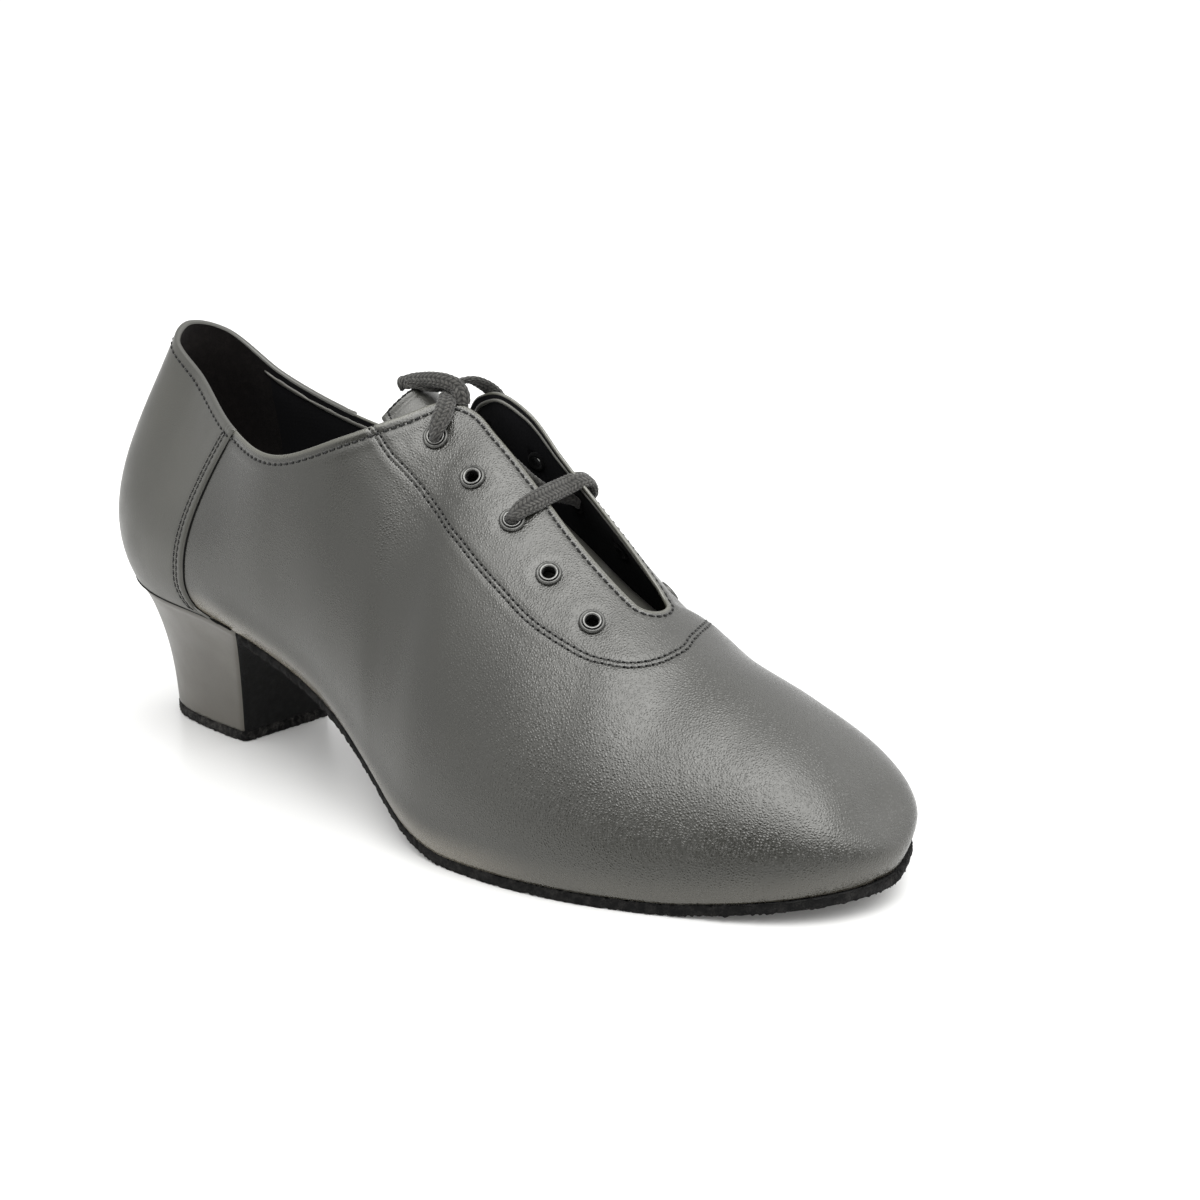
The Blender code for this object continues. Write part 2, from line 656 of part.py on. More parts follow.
def main():
    for obj in list(bpy.data.objects):
        bpy.data.objects.remove(obj, do_unlink=True)
    parts = bpy.data.collections.new("dance_shoe")
    cutters = bpy.data.collections.new("cutters")
    for c in (parts, cutters):
        bpy.context.scene.collection.children.link(c)
    leather = material("black_leather", (0.055, 0.055, 0.05), 0.45)
    lining = material("dark_lining", (0.012, 0.011, 0.012), 0.8)
    suede = material("black_suede", (0.01, 0.01, 0.011), 0.95)
    metal = material("blackened_metal", (0.05, 0.05, 0.05), 0.35, 0.8)
    braid = material("black_braid", (0.03, 0.03, 0.028), 0.85)

    make_upper(parts, cutters, leather)
    make_outsole(parts, suede)
    make_insole(parts, lining)
    make_heel(parts, leather)
    make_heel_tip(parts, suede)
    make_tongue(parts, leather)
    for side, word in ((-1, "lateral"), (1, "medial")):
        for k in range(5):
            centre, axis = eyelet_place(k, side)
            make_eyelet(f"eyelet_{word}_{k + 1}", parts, metal, centre, axis)
    routes = lace_routes()
    make_cord("lace_bar", parts, braid, routes["bar"])
    make_cord("lace_end_lateral", parts, braid, routes["lateral"])
    make_cord("lace_end_medial", parts, braid, routes["medial"])
    make_cord("lace_loop", parts, braid, routes["loop"])
    make_knot(parts, braid)


main()
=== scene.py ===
"""Looks of the right lace-up practice dance shoe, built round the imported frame.

Millimetres in the tables, with the part's own plan origin; metres in the scene.
"""

import math

import bmesh
import bpy
import numpy as np
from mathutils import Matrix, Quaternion, Vector
from mathutils.bvhtree import BVHTree
from mathutils.kdtree import KDTree


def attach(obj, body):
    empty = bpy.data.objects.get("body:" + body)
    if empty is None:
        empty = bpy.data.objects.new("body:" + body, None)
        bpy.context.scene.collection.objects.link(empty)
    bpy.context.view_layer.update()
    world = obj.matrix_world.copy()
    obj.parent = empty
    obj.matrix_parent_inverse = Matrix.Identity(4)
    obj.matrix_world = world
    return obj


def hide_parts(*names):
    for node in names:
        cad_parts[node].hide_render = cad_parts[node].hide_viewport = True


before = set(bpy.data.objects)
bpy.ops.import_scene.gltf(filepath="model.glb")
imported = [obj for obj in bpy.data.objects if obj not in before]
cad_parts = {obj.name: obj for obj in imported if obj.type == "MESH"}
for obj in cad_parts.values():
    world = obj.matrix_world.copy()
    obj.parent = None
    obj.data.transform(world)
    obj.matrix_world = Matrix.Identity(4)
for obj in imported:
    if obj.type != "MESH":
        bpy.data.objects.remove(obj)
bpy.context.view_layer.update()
rng = np.random.default_rng(11)

# ------------------------------------------------------------------ the part's sizes and tables
ORIGIN = (127.0, -2.2)
WALL = 1.8
SOLE, SOLE_WELT, FEATHER_LOW = 2.6, 1.5, 3.0
INSOLE, INSOLE_INSET = 2.0, 3.2
TONGUE = 1.5
HEEL_TIP = 3.0
BREAST_TOP, BREAST_LOW, HEEL_CORNER = 65.0, {-1: 50.8, 1: 53.0}, 2.4
EYELET_COLUMNS = ("along", "back")
EYELET_ROWS = ((1.0, 10.4), (16.6, 13.4), (33.4, 12.2), (50.5, 12.6), (67.8, 12.4))
RIM = 0.95                  # folded edge of the leather, thinner than the wall

OUTLINE = (
    (8.5, 0.0, 0.0), (11.0, -13.0, 11.7), (19.0, -22.0, 20.0), (31.0, -26.7, 24.6), (50.0, -28.3, 25.6),
    (72.0, -27.8, 23.4), (95.0, -28.2, 20.6), (118.0, -33.6, 20.6), (140.0, -41.6, 25.0), (160.0, -43.9, 31.7),
    (178.0, -42.6, 36.8), (196.0, -38.0, 38.8), (212.0, -31.6, 37.8), (226.0, -25.0, 34.2), (238.0, -16.2, 26.2),
    (245.0, -6.9, 17.1), (248.0, 4.2, 4.2),
)
FEATHER_COLUMNS = ("x", "z")
FEATHER = (
    (8.0, 47.0), (30.0, 43.8), (58.0, 40.7), (80.0, 34.2), (100.0, 25.8), (120.0, 14.7), (137.0, 6.4),
    (150.0, 3.3), (158.0, 3.0), (207.0, 3.0), (220.0, 4.2), (235.0, 6.2), (250.0, 8.6),
)
TOP_COLUMNS = ("u", "lat_x", "lat_y", "lat_z", "med_x", "med_y", "med_z")
TOP = (
    (0.000, 19.6, 1.3, 114.7, 19.6, 1.3, 114.7),
    (0.065, 22.8, -6.6, 111.3, 22.8, 11.6, 111.7),
    (0.140, 36.5, -10.6, 102.9, 36.0, 19.6, 99.7),
    (0.220, 57.3, -19.6, 93.0, 57.3, 24.5, 90.5),
    (0.320, 80.6, -26.0, 89.1, 80.6, 25.2, 86.6),
    (0.420, 101.8, -20.7, 96.1, 101.8, 18.8, 90.6),
    (0.470, 112.5, -11.5, 100.9, 113.0, 13.6, 98.0),
    (0.495, 120.3, -2.6, 104.0, 121.5, 8.6, 104.0),
    (0.515, 126.0, 0.2, 101.9, 128.5, 7.3, 105.8),
    (0.545, 134.0, 0.2, 96.2, 136.2, 9.8, 101.4),
    (0.585, 145.5, 0.3, 87.0, 146.5, 10.5, 91.2),
    (0.625, 158.0, 1.1, 78.1, 158.0, 8.3, 83.0),
    (0.665, 170.5, 1.8, 69.3, 170.5, 4.9, 73.0),
    (0.690, 178.0, 2.2, 63.9, 178.0, 2.9, 65.6),
    (0.703, 181.4, 2.3, 61.6, 181.4, 2.3, 61.6),
    (0.713, 184.0, 2.4, 59.8, 184.0, 2.4, 59.8),
    (0.755, 196.0, 3.5, 51.2, 196.0, 3.5, 51.2),
    (0.815, 212.0, 4.6, 44.1, 212.0, 4.6, 44.1),
    (0.880, 230.0, 4.5, 34.5, 230.0, 4.5, 34.5),
    (0.925, 242.6, 4.2, 22.3, 242.6, 4.2, 22.3),
    (0.955, 248.0, 4.2, 8.3, 248.0, 4.2, 8.3),
)
SLOT_END = 15
SLOT_COLUMNS = ("row", "lateral", "medial")
SLOT = ((7, 0.0, 0.0), (9, 0.0, 0.0), (10, 0.6, 0.0), (11, 3.6, 2.6), (12, 5.4, 5.2), (13, 5.7, 5.7), (15, 5.7, 5.7))
SLOT_ROUND = 5.6
SWELL_COLUMNS = ("row", "bulge_lat", "bulge_med", "rise", "spread_lat", "spread_med",
                 "drop_lat", "drop_med", "along", "turn")
SWELL = (
    (0, 11.4, 11.4, 22.2, 8.5, 8.5, 21.3, 21.3, 0.0, 0.0),
    (1, 11.6, 10.0, 22.0, 9.5, 6.5, 21.5, 21.5, 0.0, 52.0),
    (2, 10.2, 9.3, 20.4, 6.3, 4.8, 19.9, 19.9, 0.0, 90.0),
    (3, 9.4, 9.8, 18.2, 4.8, 4.6, 17.1, 17.1, 0.0, 90.0),
    (4, 9.1, 11.8, 18.0, 5.8, 6.1, 17.8, 17.8, 0.0, 90.0),
    (5, 9.0, 13.9, 20.0, 7.7, 7.8, 18.1, 18.1, 0.0, 90.0),
    (7, 9.0, 13.9, 23.0, 13.0, 7.0, 10.0, 17.0, 0.0, 90.0),
    (9, 8.6, 13.2, 23.4, 16.5, 6.0, 6.0, 16.5, 0.0, 90.0),
    (11, 7.4, 10.8, 21.2, 19.8, 12.5, 3.2, 10.5, 0.0, 90.0),
    (13, 6.2, 8.8, 18.8, 22.6, 20.5, 1.0, 4.0, 0.0, 90.0),
    (15, 5.8, 8.2, 18.0, 23.7, 24.6, 0.0, 0.0, 0.0, 90.0),
    (16, 5.6, 7.5, 16.1, 25.3, 25.7, 0.0, 0.0, 0.0, 90.0),
    (17, 4.2, 7.2, 14.5, 24.7, 25.5, 0.0, 0.0, 1.0, 90.0),
    (18, 3.0, 6.6, 12.7, 20.5, 21.9, 0.0, 0.0, 3.0, 90.0),
    (19, 2.7, 5.1, 8.3, 15.4, 15.1, 0.0, 0.0, 5.0, 90.0),
    (20, 0.0, 0.0, 0.0, 10.4, 9.2, 0.0, 0.0, 10.4, 90.0),
)
HEEL = ((0.0, 1.0), (0.2, 0.93), (0.45, 0.76), (0.66, 0.53), (0.82, 0.30), (0.93, 0.10), (1.0, 0.0))
HEEL_FOOT = dict(back=9.5, lateral=-14.2, medial=18.0, narrow=0.79)
TONGUE_COLUMNS = ("x", "y", "z", "half_width", "droop", "sweep")
TONGUE_ROWS = (
    (199.0, 3.0, 45.3, 8.5, 2.2, 0.0), (184.0, 2.5, 54.0, 12.0, 5.0, 0.0), (165.0, 2.0, 65.0, 13.5, 7.0, 0.0),
    (147.0, 1.0, 78.0, 14.0, 8.0, 0.0), (130.0, 1.0, 88.6, 13.2, 8.6, 0.0), (121.0, 0.6, 96.2, 12.6, 8.8, 1.4),
    (114.0, 0.0, 102.8, 11.9, 8.6, 2.9), (109.9, -0.4, 106.0, 11.3, 7.6, 3.6), (108.7, -0.5, 106.8, 11.0, 7.3, 3.8),
)
# Seams that only the looks have: front edge of the back panel (share, station) and the
# middle of the double row round the facing (station, millimetres behind the edge).
PANEL = ((0.0, 62.0), (0.02, 55.2), (0.05, 52.9), (0.094, 51.7), (0.231, 51.2), (0.337, 51.2), (0.482, 51.5),
         (0.625, 52.3), (0.75, 53.6), (0.85, 55.3), (1.0, 59.3))
FACING = ((113.9, 0.2), (116.2, 3.0), (120.0, 8.4), (125.1, 15.7), (130.0, 22.2), (136.4, 26.6), (143.0, 28.2),
          (150.4, 28.5), (162.9, 27.5), (174.7, 25.3), (187.5, 21.6))
FACING_END = {-1: ((196.2, 24.2), (203.5, 19.7), (208.4, 12.9), (210.2, 5.2), (209.2, 0.0)),
              1: ((194.2, 24.2), (200.6, 19.7), (204.6, 13.6), (207.2, 7.2), (209.2, 0.0))}


# ------------------------------------------------------------------ curves of the part
def column(rows, names, name):
    return np.array([row[names.index(name)] for row in rows], float)


def spline(ts, vs, t, level=False, start=None):
    """Smooth curve through the rows of a table; level keeps flat runs flat."""
    ts, vs, t = np.asarray(ts, float), np.asarray(vs, float), np.asarray(t, float)
    h = np.diff(ts)
    d = np.diff(vs) / h
    m = np.zeros_like(vs)
    m[1:-1] = (d[:-1] * h[1:] + d[1:] * h[:-1]) / (h[:-1] + h[1:])
    if level:
        m[1:-1][d[:-1] * d[1:] <= 0] = 0.0
    m[0], m[-1] = 1.5 * d[0] - 0.5 * m[1], 1.5 * d[-1] - 0.5 * m[-2]
    if start is not None:
        m[0] = start
    k = np.clip(np.searchsorted(ts, t, side="right") - 1, 0, len(h) - 1)
    s = (t - ts[k]) / h[k]
    return (vs[k] * (1 + 2 * s) * (1 - s) ** 2 + h[k] * m[k] * s * (1 - s) ** 2
            + vs[k + 1] * s * s * (3 - 2 * s) + h[k] * m[k + 1] * s * s * (s - 1))


def closed_spline(points, steps=60):
    """Twice-smooth closed curve through plan points, as a fine polyline from the first."""
    p = np.asarray(points, float)
    n = len(p)
    h = np.sqrt(np.linalg.norm(np.roll(p, -1, 0) - p, axis=1))
    a = np.zeros((n, n))
    b = np.zeros_like(p)
    for i in range(n):
        q, r = h[i - 1], h[i]
        a[i, i - 1] += q
        a[i, i] += 2 * (q + r)
        a[i, (i + 1) % n] += r
        b[i] = 6 * ((p[(i + 1) % n] - p[i]) / r - (p[i] - p[i - 1]) / q)
    c = np.linalg.solve(a, b)
    out = []
    for i in range(n):
        j = (i + 1) % n
        for s in np.arange(steps) / steps:
            t = 1 - s
            out.append(t * p[i] + s * p[j]
                       + h[i] ** 2 / 6 * ((t ** 3 - t) * c[i] + (s ** 3 - s) * c[j]))
    out.append(p[0])
    return np.array(out)


def arc(points):
    return np.concatenate([[0.0], np.cumsum(np.linalg.norm(np.diff(points, axis=0), axis=1))])


def unit(v):
    return v / np.maximum(np.linalg.norm(v, axis=-1, keepdims=True), 1e-12)


_rows = np.array(OUTLINE)
_loop = closed_spline(np.vstack([_rows[:, [0, 1]], _rows[::-1][1:-1][:, [0, 2]]]), 60)
_tip = (len(OUTLINE) - 1) * 60
_halves = {-1: _loop[: _tip + 1], 1: _loop[_tip:][::-1]}


def outline(u, side, inset=0.0):
    """Plan point of the feather line at share u of one half, heel back to toe tip."""
    half = _halves[side]
    length = arc(half)
    s = np.asarray(u, float) * length[-1]
    p = np.stack([np.interp(s, length, half[:, k]) for k in (0, 1)], -1)
    e = 0.4
    q = [np.stack([np.interp(np.clip(s + d, 0, length[-1]), length, half[:, k]) for k in (0, 1)], -1)
         for d in (-e, e)]
    t = unit(q[1] - q[0])
    n = np.stack([-t[..., 1], t[..., 0]], -1) * side
    return p - n * np.asarray(inset, float)[..., None], t, n


def feather_z(x):
    return spline(column(FEATHER, FEATHER_COLUMNS, "x"), column(FEATHER, FEATHER_COLUMNS, "z"), x, level=True)


def row_stations():
    u = column(TOP, TOP_COLUMNS, "u")
    run = np.zeros(len(TOP))
    for side, name in ((-1, "lat"), (1, "med")):
        top = np.stack([column(TOP, TOP_COLUMNS, f"{name}_{k}") for k in "xyz"], -1)
        run[1:] += np.linalg.norm(np.diff(top, axis=0), axis=1)
        run[1:] += np.linalg.norm(np.diff(outline(u, side)[0], axis=0), axis=1)
    return np.cumsum(run) / 4


STATION = row_stations()
END = STATION[SLOT_END]


def top_point(a, side):
    a = np.asarray(a, float)
    out = []
    for k in "xyz":
        start = None if k == "y" else 0.0
        v = spline(STATION, column(TOP, TOP_COLUMNS, f"lat_{k}"), a, start=start)
        if side > 0:
            v = np.where(a < END, spline(STATION, column(TOP, TOP_COLUMNS, f"med_{k}"), a, start=start), v)
        out.append(v)
    return np.stack(out, -1)


def swell(a, name):
    rows = column(SWELL, SWELL_COLUMNS, "row").astype(int)
    return spline(STATION[rows], column(SWELL, SWELL_COLUMNS, name), a)


def shell(a, r, side):
    """Outer face of the upper: station a along the shoe, share r from feather to top."""
    a, r = np.broadcast_arrays(np.asarray(a, float), np.asarray(r, float))
    r = r[..., None]
    name = "lat" if side < 0 else "med"
    u = spline(STATION, column(TOP, TOP_COLUMNS, "u"), a)
    p, t, n = outline(u, side)
    low = np.concatenate([p, feather_z(p[..., 0])[..., None]], -1)
    high = top_point(a, side)
    turn = np.radians(swell(a, "turn"))
    flat = np.zeros_like(a)[..., None]
    up = np.array([0.0, 0.0, 1.0])
    out_low = np.concatenate([n, flat], -1)
    along = np.concatenate([t, flat], -1)
    out_high = np.stack([-np.cos(turn), side * np.sin(turn), 0 * a], -1)
    h1 = (low + out_low * swell(a, f"bulge_{name}")[..., None] + up * swell(a, "rise")[..., None]
          + along * swell(a, "along")[..., None])
    h2 = (high + out_high * swell(a, f"spread_{name}")[..., None]
          - up * swell(a, f"drop_{name}")[..., None])
    return low * (1 - r) ** 3 + 3 * h1 * r * (1 - r) ** 2 + 3 * h2 * r * r * (1 - r) + high * r ** 3


def slot_half(a, side):
    """Half of the throat slot, measured down the section from its top point."""
    a = np.asarray(a, float)
    rows = column(SLOT, SLOT_COLUMNS, "row").astype(int)
    half = spline(STATION[rows], column(SLOT, SLOT_COLUMNS, "lateral" if side < 0 else "medial"),
                  np.clip(a, STATION[7], END), True)
    half = half * np.sqrt(np.clip(1 - np.clip((a - END + SLOT_ROUND) / SLOT_ROUND, 0, 1) ** 2, 0, 1))
    return np.where((a > STATION[7]) & (a < END), half, 0.0)


def share_behind(a, side, back=0.0):
    """Share r at a distance behind the edge of the upper."""
    a, back = np.broadcast_arrays(np.atleast_1d(np.asarray(a, float)), np.asarray(back, float))
    half = slot_half(a, side)
    r = np.linspace(1, 0.25, 301)
    p = shell(a[:, None], r[None], side)
    run = np.concatenate([np.zeros((len(a), 1)), np.cumsum(np.linalg.norm(np.diff(p, axis=1), axis=2), 1)], 1)
    return np.array([np.interp(h, line, r) for h, line in zip(half + back, run)])


def normals(a, r, side):
    """Outward direction of the shell."""
    a, r = np.broadcast_arrays(np.asarray(a, float), np.asarray(r, float))
    e = 1e-3
    da = shell(a + 0.05, r, side) - shell(a - 0.05, r, side)
    dr = shell(a, np.minimum(1, r + e), side) - shell(a, np.maximum(0, r - e), side)
    return unit(np.cross(da, dr) * (1 if side < 0 else -1))


def place(p):
    """Millimetres of the tables to metres of the frame."""
    return (np.asarray(p, float) - np.array((ORIGIN[0], ORIGIN[1], 0.0))) / 1000


def ease(x, low, high):
    t = np.clip((np.asarray(x, float) - low) / (high - low), 0, 1)
    return t * t * (3 - 2 * t)


def bell(x, width):
    return np.exp(-(x / width) ** 2)


def eyelet_place(k, side):
    """Centre on the outer face and outward axis of the k-th eyelet from the collar."""
    a = np.linspace(STATION[7], END - 1, 160)
    edge = shell(a, share_behind(a, side), side)
    along, back = EYELET_ROWS[k]
    a = np.interp(along, arc(edge), a)
    r = share_behind(a, side, back)[0]
    return shell(a, r, side), normals(a, r, side)


EYELETS = {(side, k): eyelet_place(k, side) for side in (-1, 1) for k in range(5)}

# ------------------------------------------------------------------ camera
camera_data = bpy.data.cameras.new("camera")
camera_data.sensor_width = 36.0
camera_data.lens = 58.91
camera_data.clip_start, camera_data.clip_end = 0.01, 50.0
camera = bpy.data.objects.new("camera", camera_data)
bpy.context.scene.collection.objects.link(camera)
AZIMUTH, ELEVATION, ROLL = math.radians(37.68), math.radians(16.38), math.radians(0.13)
camera_back = Vector((math.sin(AZIMUTH) * math.cos(ELEVATION), -math.cos(AZIMUTH) * math.cos(ELEVATION),
                      math.sin(ELEVATION)))
camera.location = (0.32175, -0.3633, 0.1956)
camera.rotation_mode = "QUATERNION"
camera.rotation_quaternion = (-camera_back).to_track_quat("-Z", "Y") @ Quaternion((0, 0, 1), ROLL)
bpy.context.scene.camera = camera


# ------------------------------------------------------------------ mesh helpers
def add_piece(name, verts, faces, materials, face_material=None, replaces=(), attributes=None):
    """A piece of the root body from points in millimetres."""
    mesh = bpy.data.meshes.new(name)
    mesh.from_pydata(place(verts).tolist(), [], [list(map(int, f)) for f in faces])
    for finish in materials:
        mesh.materials.append(finish)
    if face_material is not None:
        mesh.polygons.foreach_set("material_index", np.asarray(face_material, np.int32))
    mesh.shade_smooth()
    for key, values in (attributes or {}).items():
        mesh.attributes.new(key, "FLOAT", "POINT").data.foreach_set("value", np.asarray(values, np.float32))
    mesh.update()
    obj = bpy.data.objects.new(name, mesh)
    bpy.context.scene.collection.objects.link(obj)
    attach(obj, "root")
    if replaces:
        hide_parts(*replaces)
    return obj


def grid_quads(index, flip=False):
    """Quads of an index grid; repeated corners make triangles."""
    a, b, c, d = index[:-1, :-1], index[1:, :-1], index[1:, 1:], index[:-1, 1:]
    quads = np.stack([a, b, c, d], -1).reshape(-1, 4)
    return quads[:, ::-1] if flip else quads


def clean(quads):
    """Faces with repeated corners taken out."""
    out = []
    for q in quads:
        f = [int(v) for k, v in enumerate(q) if v != q[k - 1]]
        if len(f) >= 3:
            out.append(f)
    return out


def vertex_normals(verts, faces):
    """Smooth normals from quads."""
    q = np.asarray(faces)
    n = np.cross(verts[q[:, 2]] - verts[q[:, 0]], verts[q[:, 3]] - verts[q[:, 1]])
    out = np.zeros_like(verts)
    for k in range(4):
        np.add.at(out, q[:, k], n)
    return unit(out)


def two_layers(top, bottom, wall=()):
    """Closed slab between two grids of the same shape; wall holds shares of extra rows of its side."""
    m, n = top.shape[:2]
    verts = [top.reshape(-1, 3), bottom.reshape(-1, 3)]
    up = np.arange(m * n).reshape(m, n)
    low = up + m * n
    faces = list(grid_quads(up)) + list(grid_quads(low, True))

    def ring(index):
        return np.concatenate([index[:, 0], index[-1, 1:], index[::-1, -1][1:], index[0, ::-1][1:-1]])
    rows = [ring(up)]
    high_ring, low_ring = top.reshape(-1, 3)[ring(up)], bottom.reshape(-1, 3)[ring(up)]
    count = 2 * m * n
    for share in wall:
        verts.append(high_ring * (1 - share) + low_ring * share)
        rows.append(np.arange(count, count + len(high_ring)))
        count += len(high_ring)
    rows.append(ring(low))
    for one, two in zip(rows[:-1], rows[1:]):
        faces += list(np.stack([one, two, np.roll(two, -1), np.roll(one, -1)], -1)[:, ::-1])
    return np.vstack(verts), faces, rows


def fix_outward(obj):
    """Turns a closed mesh so that its faces look out."""
    co = np.array([v.co for v in obj.data.vertices])
    total = 0.0
    for p in obj.data.polygons:
        v = co[list(p.vertices)]
        for k in range(1, len(v) - 1):
            total += np.dot(v[0], np.cross(v[k], v[k + 1]))
    if total < 0:
        obj.data.flip_normals()


def revolve(profile, centre, axis, segments):
    """Turned ring from a closed profile (radius, height)."""
    x = unit(np.cross(axis, (0.3, 0.5, 0.8)))
    y = np.cross(axis, x)
    angle = np.linspace(0, 2 * np.pi, segments, endpoint=False)
    ring = np.array([centre + axis * h + r * (x * math.cos(t) + y * math.sin(t)) for t in angle for r, h in profile])
    m = len(profile)
    index = np.arange(segments * m).reshape(segments, m)
    index = np.vstack([index, index[:1]])
    index = np.hstack([index, index[:, :1]])
    return ring, grid_quads(index)


# ------------------------------------------------------------------ materials
class Finish:
    """Small helper to wire a procedural material."""

    def __init__(self, name, colour, roughness, **sockets):
        self.material = bpy.data.materials.new(name)
        self.material.use_nodes = True
        self.tree = self.material.node_tree
        self.shader = self.tree.nodes["Principled BSDF"]
        self.shader.inputs["Base Color"].default_value = (*colour, 1.0)
        self.shader.inputs["Roughness"].default_value = roughness
        for key, value in sockets.items():
            self.shader.inputs[key.replace("_", " ")].default_value = value
        self.coords = self.node("ShaderNodeTexCoord").outputs["Object"]

    def node(self, kind, **settings):
        made = self.tree.nodes.new(kind)
        for key, value in settings.items():
            if key in made.inputs:
                made.inputs[key].default_value = value
            else:
                setattr(made, key, value)
        return made

    def link(self, out, to):
        self.tree.links.new(out, to)

    def noise(self, scale, detail=2.0, roughness=0.5, vector=None):
        made = self.node("ShaderNodeTexNoise", Scale=scale, Detail=detail, Roughness=roughness)
        self.link(vector or self.coords, made.inputs["Vector"])
        return made.outputs["Fac"]

    def math(self, operation, one, two=None):
        made = self.node("ShaderNodeMath", operation=operation)
        for socket, value in zip(made.inputs, (one, two)):
            if value is None:
                continue
            if isinstance(value, (int, float)):
                socket.default_value = value
            else:
                self.link(value, socket)
        return made.outputs[0]

    def span(self, value, low, high, to_low, to_high, smooth=True):
        made = self.node("ShaderNodeMapRange")
        made.interpolation_type = "SMOOTHSTEP" if smooth else "LINEAR"
        for key, v in (("From Min", low), ("From Max", high), ("To Min", to_low), ("To Max", to_high)):
            made.inputs[key].default_value = v
        self.link(value, made.inputs["Value"])
        return made.outputs["Result"]

    def mix(self, factor, one, two):
        made = self.node("ShaderNodeMix", data_type="RGBA")
        self.link(factor, made.inputs[0])
        for socket, value in ((made.inputs[6], one), (made.inputs[7], two)):
            if isinstance(value, tuple):
                socket.default_value = (*value, 1.0)
            else:
                self.link(value, socket)
        return made.outputs[2]

    def attribute(self, name):
        return self.node("ShaderNodeAttribute", attribute_name=name).outputs["Fac"]

    def bump(self, height, strength, distance, normal=None):
        made = self.node("ShaderNodeBump", Strength=strength, Distance=distance)
        self.link(height, made.inputs["Height"])
        if normal is not None:
            self.link(normal, made.inputs["Normal"])
        self.link(made.outputs["Normal"], self.shader.inputs["Normal"])
        return made.outputs["Normal"]

    def colour(self, out):
        self.link(out, self.shader.inputs["Base Color"])

    def roughness(self, out):
        self.link(out, self.shader.inputs["Roughness"])


def leather(name, colour, rough, grain=0.3, seams=False):
    """Smooth box leather: fine pebble grain, slow tone changes, polish that varies; with seams, also painted shade in
    the stitch grooves, a painted highlight along the rolled rim and a painted floor bounce near the feather line.
    """
    f = Finish(name, colour, rough, Specular_IOR_Level=0.84, Specular_Tint=(1.0, 0.997, 0.965, 1.0), Coat_Weight=0.1, Coat_Roughness=0.25)
    warp = f.node("ShaderNodeTexNoise", Scale=700.0, Detail=2.0)
    f.link(f.coords, warp.inputs["Vector"])
    push = f.node("ShaderNodeVectorMath", operation="MULTIPLY_ADD")
    f.link(warp.outputs["Color"], push.inputs[0])
    push.inputs[1].default_value = (0.0002, 0.0002, 0.0002)
    f.link(f.coords, push.inputs[2])
    pebble = f.node("ShaderNodeTexVoronoi", feature="DISTANCE_TO_EDGE", Scale=1450.0)
    f.link(push.outputs[0], pebble.inputs["Vector"])
    top = f.span(pebble.outputs["Distance"], 0.0, 0.45, 0.0, 1.0)
    height = f.math("MULTIPLY_ADD", f.noise(5200.0, 2.0), 0.12)
    f.link(top, height.node.inputs[2])
    dull = f.span(pebble.outputs["Distance"], 0.02, 0.20, 0.09 * min(1.0, grain), 0.0)
    slow = f.noise(38.0, 3.0, 0.55)
    tone = f.span(slow, 0.3, 0.7, 0.0, 1.0)
    dark, light = tuple(0.9 * c for c in colour), tuple(1.1 * c for c in colour)
    shade = f.mix(tone, dark, light)
    if seams:
        row = f.math("ABSOLUTE", f.math("SUBTRACT", f.math("ABSOLUTE", f.attribute("facing_mm")), 0.62))
        edge = f.attribute("edge_mm")
        groove = f.math("MINIMUM", row, f.math("ABSOLUTE", f.attribute("row_mm")))
        # painted shade: the pressed stitch grooves darken to 0.4 of the colour
        shade = f.mix(f.span(groove, 0.1, 0.5, 0.2, 0.0), shade, tuple(0.4 * c for c in colour))
        # painted highlight: the rolled rim, within about a millimetre of the edge, is up to five times lighter
        shade = f.mix(f.span(edge, 0.1, 1.1, 0.9, 0.0), shade, tuple(5.0 * c for c in colour))
        # painted floor bounce: a pale beige band along the bottom of the upper, near the feather line
        shade = f.mix(f.attribute("painted_bounce"), shade, (0.120, 0.106, 0.080))
        base = f.bump(f.span(groove, 0.0, 0.6, 0.0, 1.0), 0.6, 0.00012)
        f.bump(f.math("MULTIPLY", height, f.attribute("grain")), grain, 0.000075, base)
        dull = f.math("MULTIPLY", dull, f.attribute("grain"))
    else:
        f.bump(height, grain, 0.00004)
    f.colour(shade)
    f.roughness(f.math("ADD", f.span(f.noise(90.0, 3.0), 0.3, 0.7, rough - 0.05, rough + 0.03), dull))
    return f.material


def plain_weave(name, colour, rough, scale=1400.0, strength=0.3):
    """Matt textile: fine crossed ribs."""
    f = Finish(name, colour, rough, Specular_IOR_Level=0.15, Sheen_Weight=0.02, Sheen_Roughness=0.6)
    waves = []
    for axis in ("X", "Z"):
        w = f.node("ShaderNodeTexWave", Scale=scale / 6.283, Distortion=1.2)
        w.bands_direction = axis
        f.link(f.coords, w.inputs["Vector"])
        waves.append(w.outputs["Fac"])
    height = f.math("MAXIMUM", *waves)
    f.bump(height, strength, 0.0001)
    tone = f.span(f.noise(60.0, 3.0), 0.35, 0.65, 0.0, 1.0)
    f.colour(f.mix(tone, tuple(0.8 * c for c in colour), tuple(1.2 * c for c in colour)))
    return f.material


def nap(name, colour, light, rough):
    """Suede: broken nap with lighter fibres."""
    f = Finish(name, colour, rough, Specular_IOR_Level=0.08, Sheen_Weight=0.04, Sheen_Roughness=0.5)
    fibres = f.noise(3200.0, 4.0, 0.7)
    clumps = f.noise(420.0, 3.0, 0.6)
    f.colour(f.mix(f.span(f.math("MULTIPLY", fibres, clumps), 0.2, 0.42, 0.0, 1.0), colour, light))
    f.bump(f.math("ADD", fibres, clumps), 0.8, 0.0003)
    return f.material


